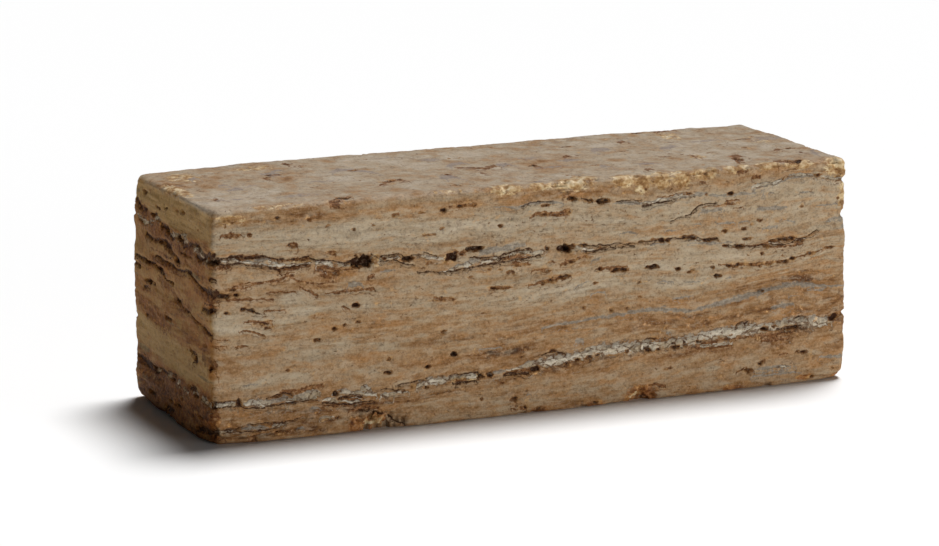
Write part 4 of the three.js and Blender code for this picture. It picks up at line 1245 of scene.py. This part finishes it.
class Graph:
    """Builds one material's nodes, whose inputs are numbers, colours or other nodes' outputs."""

    def __init__(self, name):
        self.material = bpy.data.materials.new(name)
        self.material.use_nodes = True
        self.tree = self.material.node_tree
        self.tree.nodes.clear()

    def node(self, kind, inputs=(), **settings):
        node = self.tree.nodes.new("ShaderNode" + kind)
        for name, value in settings.items():
            setattr(node, name, value)
        for key, value in dict(inputs).items():
            if isinstance(value, bpy.types.NodeSocket):
                self.tree.links.new(value, node.inputs[key])
            else:
                node.inputs[key].default_value = value
        return node

    def finish(self, inputs):
        """The shader and its output, and the material they complete."""
        shader = self.node("BsdfPrincipled", inputs)
        self.node("OutputMaterial", {"Surface": shader.outputs[0]})
        return self.material

    def attribute(self, name):
        return self.node("Attribute", attribute_name=name).outputs["Fac"]

    def math(self, operation, *values):
        return self.node("Math", dict(enumerate(values)), operation=operation).outputs[0]

    def add(self, first, *others):
        for other in others:
            first = self.math("ADD", first, other)
        return first

    def times(self, first, *others):
        for other in others:
            first = self.math("MULTIPLY", first, other)
        return first

    def most(self, first, *others):
        for other in others:
            first = self.math("MAXIMUM", first, other)
        return first

    def scaled(self, value, factor, extra):
        return self.math("MULTIPLY_ADD", value, factor, extra)

    def centred(self, value, height):
        """Noise about 0.5 made into a rise and fall of the given height about 0."""
        return self.scaled(value, 4 * height, -2 * height)

    def share(self, value, low, high, **settings):
        """0 at low, 1 at high, and straight between them."""
        inputs = {"Value": value, "From Min": low, "From Max": high}
        return self.node("MapRange", inputs, **settings).outputs["Result"]

    def between(self, value, low, high):
        """0 at low, 1 at high, and smooth between them."""
        return self.share(value, low, high, interpolation_type="SMOOTHSTEP")

    def below(self, value, low, high):
        """1 at low, 0 at high, and smooth between them."""
        return self.math("SUBTRACT", 1, self.between(value, low, high))

    def mix(self, share, below, above):
        return self.node("Mix", {0: share, 6: below, 7: above}, data_type="RGBA").outputs[2]

    def vector(self, operation, inputs):
        return self.node("VectorMath", inputs, operation=operation).outputs[0]

    def ramp(self, value, stops):
        low, high = stops[0][0], stops[-1][0]
        node = self.node("ValToRGB", {"Fac": self.share(value, low, high)})
        elements = node.color_ramp.elements
        elements[0].color, elements[1].color = linear(stops[0][1]), linear(stops[-1][1])
        for place, colour in stops[1:-1]:
            elements.new((place - low) / (high - low)).color = linear(colour)
        return node.outputs["Color"]

    def stretched(self, vector, lengths, seed):
        scale = tuple(1 / length for length in lengths)
        inputs = {"Vector": vector, "Scale": scale, "Location": (seed, seed, seed)}
        return self.node("Mapping", inputs).outputs[0]

    def noise(self, vector, lengths, seed, detail, roughness):
        """Cloudy noise, mostly from 0.25 to 0.75."""
        inputs = {
            "Vector": self.stretched(vector, lengths, seed), "Scale": 1,
            "Detail": detail, "Roughness": roughness,
        }
        return self.node("TexNoise", inputs).outputs["Fac"]

    def cells(self, vector, lengths, seed, feature):
        inputs = {"Vector": self.stretched(vector, lengths, seed), "Scale": 1}
        return self.node("TexVoronoi", inputs, feature=feature)


# ---- The material ----------------------------------------------------------------------------

# Colours as they are seen, in sRGB. Each ramp starts and ends at the values it is read between.
TONES = [
    (-1.3, (179, 164, 140)), (-0.6, (165, 147, 120)), (-0.1, (158, 133, 102)),
    (0.3, (152, 120, 84)), (0.6, (143, 107, 69)), (0.95, (121, 83, 45)), (1.4, (84, 50, 21)),
]
GREYS = [(0.28, (100, 91, 78)), (0.5, (130, 122, 109)), (0.72, (160, 153, 140))]
CALCITE = [
    (0.26, (118, 96, 68)), (0.38, (158, 141, 114)), (0.55, (182, 169, 147)),
    (0.72, (206, 196, 176)),
]
GOLDS = [
    (0.3, (118, 80, 40)), (0.42, (158, 120, 72)), (0.53, (190, 160, 114)), (0.68, (222, 202, 162)),
]
RUSTS = [
    (0.3, (62, 30, 10)), (0.43, (110, 64, 28)), (0.57, (160, 108, 58)), (0.74, (204, 162, 104)),
]
BROWNS = [(0.3, (70, 40, 18)), (0.5, (108, 68, 34)), (0.7, (144, 98, 54))]
OCHRES = [(0.35, (84, 50, 22)), (0.5, (118, 76, 38)), (0.65, (152, 112, 66))]
DARKS = [(0.35, (62, 40, 23)), (0.65, (98, 68, 42))]
# painted shade inside open seams and holes
PAINTED_OPEN_SHADE = (52, 28, 10)
PALE = (173, 154, 127)
TOP_GREY = (144, 128, 114)
LIGHT_GRAIN = (210, 185, 155)
DARK_GRAIN = (66, 30, 2)
ORANGE = (158, 114, 68)
GOLDEN_FLECK = (172, 132, 80)
VEIN = (112, 82, 54)
# Multiplies the left end's colour: partly its own brown stone, partly painted shade for the side
# turned away from the light
LEFT_END_SHADE_AND_TINT = (0.98, 0.74, 0.38)
TOP_TINT = (0.98, 1.0, 1.1)

# Noise in the stone, and along its beds: the lengths of its lumps along, back and up in
# millimetres, its seed, detail and roughness
IN_STONE = {
    "ragged": ((6, 6, 2.8), 5.5, 4, 0.65),
    "gritty": ((3, 3, 2.6), 31, 3, 0.65),
    "lumpy": ((7, 7, 5), 2.2, 4, 0.65),
    "grain": ((1.6, 1.6, 1.6), 0, 3, 0.7),
    "flecks": ((3.4, 3.4, 3), 91, 2, 0.6),
    "crumbs": ((8, 8, 6), 2.6, 2, 0.5),
    "specks": ((4.2, 4.2, 2.6), 71, 4, 0.65),
    "clay": ((6, 6, 2.2), 9.1, 4, 0.7),
    "openings": ((9, 9, 6), 47, 3, 0.6),
}
IN_BEDS = {
    "beds": ((80, 80, 8), 3.1, 3, 0.5),
    "streaks": ((34, 34, 2.4), 7.7, 3, 0.55),
    "lenses": ((18, 18, 4.6), 12.9, 2, 0.5),
    "patches": ((7, 7, 4), 1.3, 2, 0.5),
    "orange": ((32, 32, 8), 51, 2, 0.5),
    "clouds": ((18, 18, 6), 21.4, 2, 0.5),
    "veins": ((34, 34, 4.2), 13.7, 4, 0.6),
    "vein_places": ((40, 40, 9), 17.9, 2, 0.5),
    "speck_places": ((30, 30, 6), 61, 2, 0.5),
    "mottle": ((8, 8, 4), 34, 3, 0.6),
}
CHIPS = ((10, 10, 6.5), 8.8)  # the pieces of a crust: their lengths and seed

BUMP_DISTANCE = 0.0009
BUMP_STRENGTH = 0.8
SHINE = 0.15


class Travertine(Graph):
    """The stone's material: coats of colour, one over the other, then bump and gloss."""

    def __init__(self):
        super().__init__("banded_travertine")
        place = self.node("TexCoord").outputs["Object"]
        self.stone = self.vector("SCALE", {0: place, "Scale": 1 / MM})
        along, back, self.up = self.node("SeparateXYZ", {0: self.stone}).outputs
        bed = self.attribute("bed")
        self.bedded = self.node("CombineXYZ", {0: along, 1: back, 2: bed}).outputs[0]
        self.on_top = self.between(self.up, HEIGHT - 5, HEIGHT - 1)
        self.left_end = self.attribute("left_end")

        # What several coats share
        self.ragged = self.named_noise("ragged")
        self.gritty = self.named_noise("gritty")
        self.lumpy = self.named_noise("lumpy")
        self.grain = self.named_noise("grain")
        self.flecks = self.named_noise("flecks")
        self.streaks = self.named_noise("streaks")
        self.calmer = self.scaled(self.left_end, -0.35, 0.95)
        self.browns = self.ramp(self.gritty, BROWNS)
        self.darks = self.ramp(self.ragged, DARKS)
        self.greys = self.ramp(self.named_noise("clay"), GREYS)
        edge = self.rough(0.45, 0.25)
        self.white = self.stroke("white", 0.7, edge, 0.95, 1.3)
        self.white_rim = self.stroke("white", 0.7, edge, 1.3, 1.8)
        self.left_crust = self.times(self.white, self.left_end)

    def named_noise(self, name):
        if name in IN_STONE:
            return self.noise(self.stone, *IN_STONE[name])
        return self.noise(self.bedded, *IN_BEDS[name])

    def rough(self, gritty, grain):
        """A fine rise and fall about 0, made of the two finest noises."""
        return self.add(self.centred(self.gritty, gritty), self.centred(self.grain, grain))

    def stroke(self, name, stray, rough, full, gone):
        """1 within a stroke and 0 away from it; it strays to either side, and its edge is rough."""
        gap = self.add(self.attribute(name + "_gap"), self.centred(self.ragged, stray))
        share = self.below(self.add(self.math("ABSOLUTE", gap), rough), full, gone)
        return self.times(share, self.attribute(name + "_near"))

    def coat(self, share, colour):
        """Lays a colour over those before it, to a share from 0 to 1."""
        if isinstance(colour, tuple):
            colour = linear(colour)
        self.colour = self.mix(share, self.colour, colour)

    def bands(self):
        """Tan, cream and brown that follow the bedding."""
        self.tone = self.add(
            self.attribute("tone"),
            self.centred(self.named_noise("beds"), 0.44),
            self.centred(self.streaks, 0.34),
            self.centred(self.named_noise("lenses"), 0.5),
            self.centred(self.named_noise("patches"), 0.24),
        )
        self.colour = self.ramp(self.tone, TONES)

    def clouds_and_veins(self):
        orange = self.between(self.named_noise("orange"), 0.46, 0.7)
        orange = self.times(orange, self.between(self.tone, -0.8, 0.3))
        self.coat(self.times(orange, self.scaled(self.on_top, -0.5, 0.75)), ORANGE)
        clouds = self.between(self.named_noise("clouds"), 0.5, 0.68)
        self.coat(self.times(clouds, 0.5), PALE)
        self.coat(self.times(self.between(self.flecks, 0.56, 0.7), 0.15), GOLDEN_FLECK)
        self.coat(self.times(self.between(self.flecks, 0.44, 0.3), 0.25), PALE)
        off_vein = self.math("SUBTRACT", self.named_noise("veins"), 0.5)
        here = self.between(self.named_noise("vein_places"), 0.42, 0.6)
        self.vein = self.times(self.below(self.math("ABSOLUTE", off_vein), 0, 0.018), here)
        self.coat(self.times(self.vein, 0.4), VEIN)

    def rust_and_crystals(self):
        """Rust where pieces broke away, and golden crystals on the worn edges."""
        crumbs = self.add(self.named_noise("crumbs"), self.centred(self.gritty, 0.05))
        fine = self.centred(self.gritty, 0.1)
        rust = self.add(self.attribute("rust"), self.centred(self.lumpy, 0.4), fine)
        self.coat(self.between(rust, 0.12, 0.55), self.ramp(self.lumpy, RUSTS))
        gold = self.attribute("gold")
        fine = self.centred(self.gritty, 0.2)
        golden = self.between(self.add(gold, self.centred(self.ragged, 0.8), fine), 0.15, 0.5)
        golden = self.times(golden, self.between(gold, 0.02, 0.15), 0.9)
        self.coat(golden, self.ramp(crumbs, GOLDS))

    def stains(self):
        """Brown strokes and specks, and brown mixed in over the lowest few millimetres above the
        underside.
        """
        here = self.between(self.named_noise("speck_places"), 0.4, 0.62)
        specks = self.scaled(here, 0.08, self.named_noise("specks"))
        self.specks = self.between(specks, 0.68, 0.75)
        stain = self.stroke("brown", 0.8, self.rough(0.5, 0.3), 0.8, 1.5)
        foot = self.below(self.add(self.up, self.centred(self.ragged, 5)), 0, 5)
        stained = self.most(self.times(stain, self.calmer), self.times(self.specks, 0.85))
        self.coat(self.most(stained, self.times(foot, 0.3)), self.browns)

    def clay(self):
        """Grey clay in lenses and bands."""
        band = self.stroke("grey", 0.7, self.rough(0.3, 0.2), 0.6, 1.2)
        lens = self.add(self.attribute("lens"), self.centred(self.ragged, 0.2))
        greys = self.mix(self.times(self.on_top, 0.7), self.greys, linear(TOP_GREY))
        self.coat(self.times(self.most(band, self.between(lens, 0.28, 0.45)), 0.85), greys)

    def calcite(self):
        """White strands, greyer above and creamier below, with cracks between their pieces."""
        chips = self.cells(self.stone, *CHIPS, "F1").outputs["Color"]
        chip_tone = self.node("SeparateXYZ", {0: chips}).outputs[0]
        body = self.add(self.scaled(self.gritty, 0.55, 0.2), self.scaled(chip_tone, 0.36, -0.12))
        calcite = self.ramp(body, CALCITE)
        above = self.add(self.attribute("white_gap"), self.centred(self.ragged, 1))
        greyer = self.times(self.between(above, -0.4, 0.7), 0.65)
        calcite = self.mix(greyer, calcite, self.greys)
        to_crack = self.cells(self.stone, *CHIPS, "DISTANCE_TO_EDGE").outputs["Distance"]
        cracked = self.below(self.add(to_crack, self.centred(self.grain, 0.05)), 0.02, 0.13)
        cracked = self.times(cracked, self.between(self.ragged, 0.38, 0.54), 0.9)
        calcite = self.mix(cracked, calcite, self.darks)
        rim = self.times(self.white_rim, self.between(self.ragged, 0.4, 0.6), 0.8)
        self.coat(rim, self.darks)
        self.coat(self.white, calcite)

    def openings(self):
        """Open lines and holes: brown at their rims, some of them golden, and painted dark inside
        as shade, over the hollows that the mesh cuts.
        """
        here = self.between(self.named_noise("openings"), 0.3, 0.44)
        line = self.times(self.stroke("dark", 0.8, self.rough(0.6, 0.3), 0.5, 1.1), here)
        line = self.times(line, self.scaled(self.left_crust, -0.9, 1))
        line_rim = self.stroke("dark", 1, self.centred(self.gritty, 0.8), 1.1, 1.9)
        ragged, gritty = self.centred(self.ragged, 1), self.centred(self.gritty, 0.6)
        hole = self.add(self.attribute("pit"), ragged, gritty)
        golden = self.times(self.between(hole, -2, -1.2), self.between(self.lumpy, 0.52, 0.62))
        self.coat(self.times(golden, 0.5), GOLDEN_FLECK)
        self.coat(self.times(line_rim, 0.35), self.browns)
        hole_rim = self.times(self.between(hole, -0.8, -0.2), self.calmer)
        self.coat(hole_rim, self.ramp(self.gritty, OCHRES))
        # dark inside open lines and deeper holes: painted shade
        self.opened = self.most(self.times(line, 0.9), self.between(hole, 0.1, 0.7))
        self.coat(self.opened, PAINTED_OPEN_SHADE)

    def fine_grain(self):
        mottle = self.centred(self.named_noise("mottle"), 0.24)
        spread = self.add(self.rough(0.3, 0.38), mottle, self.centred(self.flecks, 0.16))
        self.coat(self.most(self.times(spread, 0.5), 0), LIGHT_GRAIN)
        self.coat(self.most(self.times(spread, -0.95), 0), DARK_GRAIN)
        crumbly = self.times(self.centred(self.lumpy, 0.8), self.between(self.tone, 0.8, 1.2))
        self.colour = self.vector("SCALE", {0: self.colour, "Scale": self.add(1, crumbly)})

    def face_tints(self):
        """The left end darker and more brown, partly painted shade, and the cooler stone of the
        top.
        """
        # painted shade and brown stone of the left end together
        shaded_brown_end = self.vector("MULTIPLY", {0: self.colour, 1: LEFT_END_SHADE_AND_TINT})
        self.coat(self.scaled(self.left_crust, -0.6, self.left_end), shaded_brown_end)
        cooler = self.vector("MULTIPLY", {0: self.colour, 1: TOP_TINT})
        self.coat(self.on_top, cooler)

    def made(self):
        self.bands()
        self.clouds_and_veins()
        self.rust_and_crystals()
        self.stains()
        self.clay()
        self.calcite()
        self.openings()
        self.fine_grain()
        self.face_tints()
        reliefs = [
            (self.grain, 0.6), (self.streaks, 0.4), (self.gritty, 0.9), (self.ragged, 0.6),
            (self.specks, -0.5), (self.vein, -0.2), (self.opened, -0.8), (self.white, 0.4),
        ]
        height = self.add(*[self.times(relief, rise) for relief, rise in reliefs])
        bump = {"Height": height, "Distance": BUMP_DISTANCE, "Strength": BUMP_STRENGTH}
        return self.finish({
            "Base Color": self.colour,
            "Roughness": self.share(self.grain, -0.6, 1),
            "Normal": self.node("Bump", bump).outputs[0],
            "Specular IOR Level": SHINE,
        })


# ---- Floor, light and camera -----------------------------------------------------------------

FLOOR_REACH = 30
FLOOR_GREY = 0.9
FLOOR_ROUGHNESS = 0.9
WORLD_LIGHT = 0.035

# The sun: its strength, degrees across, place and the direction it comes from
KEY_STRENGTH = 3.56
KEY_WIDTH = 23
KEY_AT = (0, 0, 3)
KEY_FROM = (0.31, 0.19, 1.0)

# A soft box in front to the right: watts, width, height and place in metres
FILL_WATTS = 37.5
FILL_SIZE = (1.3, 0.24)
FILL_AT = (1.25, -2.4, 0.14)

LENS = 145.05
CAMERA_AT = (-1.3385, -2.9565, 0.8074)
CAMERA_TURN = -23.988
CAMERA_DOWN = 12.243


def placed(name, data, place, turn=(0, 0, 0)):
    """An object of the scene, at a place in metres."""
    thing = bpy.data.objects.new(name, data)
    thing.location = place
    thing.rotation_euler = turn
    bpy.context.scene.collection.objects.link(thing)
    return thing


def make_floor():
    mesh = bpy.data.meshes.new("floor")
    corners = [(-1, -1), (1, -1), (1, 1), (-1, 1)]
    points = [(x * FLOOR_REACH, y * FLOOR_REACH, LOW[2]) for x, y in corners]
    mesh.from_pydata(points, [], [(0, 1, 2, 3)])
    mesh.materials.append(Graph("pale_floor").finish({
        "Base Color": (FLOOR_GREY, FLOOR_GREY, FLOOR_GREY, 1),
        "Roughness": FLOOR_ROUGHNESS,
        "Specular IOR Level": 0,
    }))
    floor = placed("floor", mesh, (0, 0, 0))


def make_light():
    world = bpy.data.worlds.new("studio")
    world.use_nodes = True
    background = world.node_tree.nodes["Background"]
    background.inputs["Color"].default_value = (1, 1, 1, 1)
    background.inputs["Strength"].default_value = WORLD_LIGHT
    bpy.context.scene.world = world
    key = bpy.data.lights.new("key", "SUN")
    key.energy = KEY_STRENGTH
    key.angle = math.radians(KEY_WIDTH)
    fill = bpy.data.lights.new("fill", "AREA")
    fill.energy = FILL_WATTS
    fill.shape = "RECTANGLE"
    fill.size, fill.size_y = FILL_SIZE
    for lamp, place, comes_from in ((key, KEY_AT, KEY_FROM), (fill, FILL_AT, FILL_AT)):
        turn = Vector(comes_from).to_track_quat("Z", "Y").to_euler()
        placed(lamp.name, lamp, place, turn).visible_camera = False


def make_camera():
    data = bpy.data.cameras.new("camera")
    data.lens = LENS
    turn = (math.radians(90 - CAMERA_DOWN), 0, math.radians(CAMERA_TURN))
    bpy.context.scene.camera = placed("camera", data, CAMERA_AT, turn)


bpy.context.scene.view_settings.view_transform = "Standard"
make_floor()
make_light()
make_camera()
make_stone(Travertine().made())
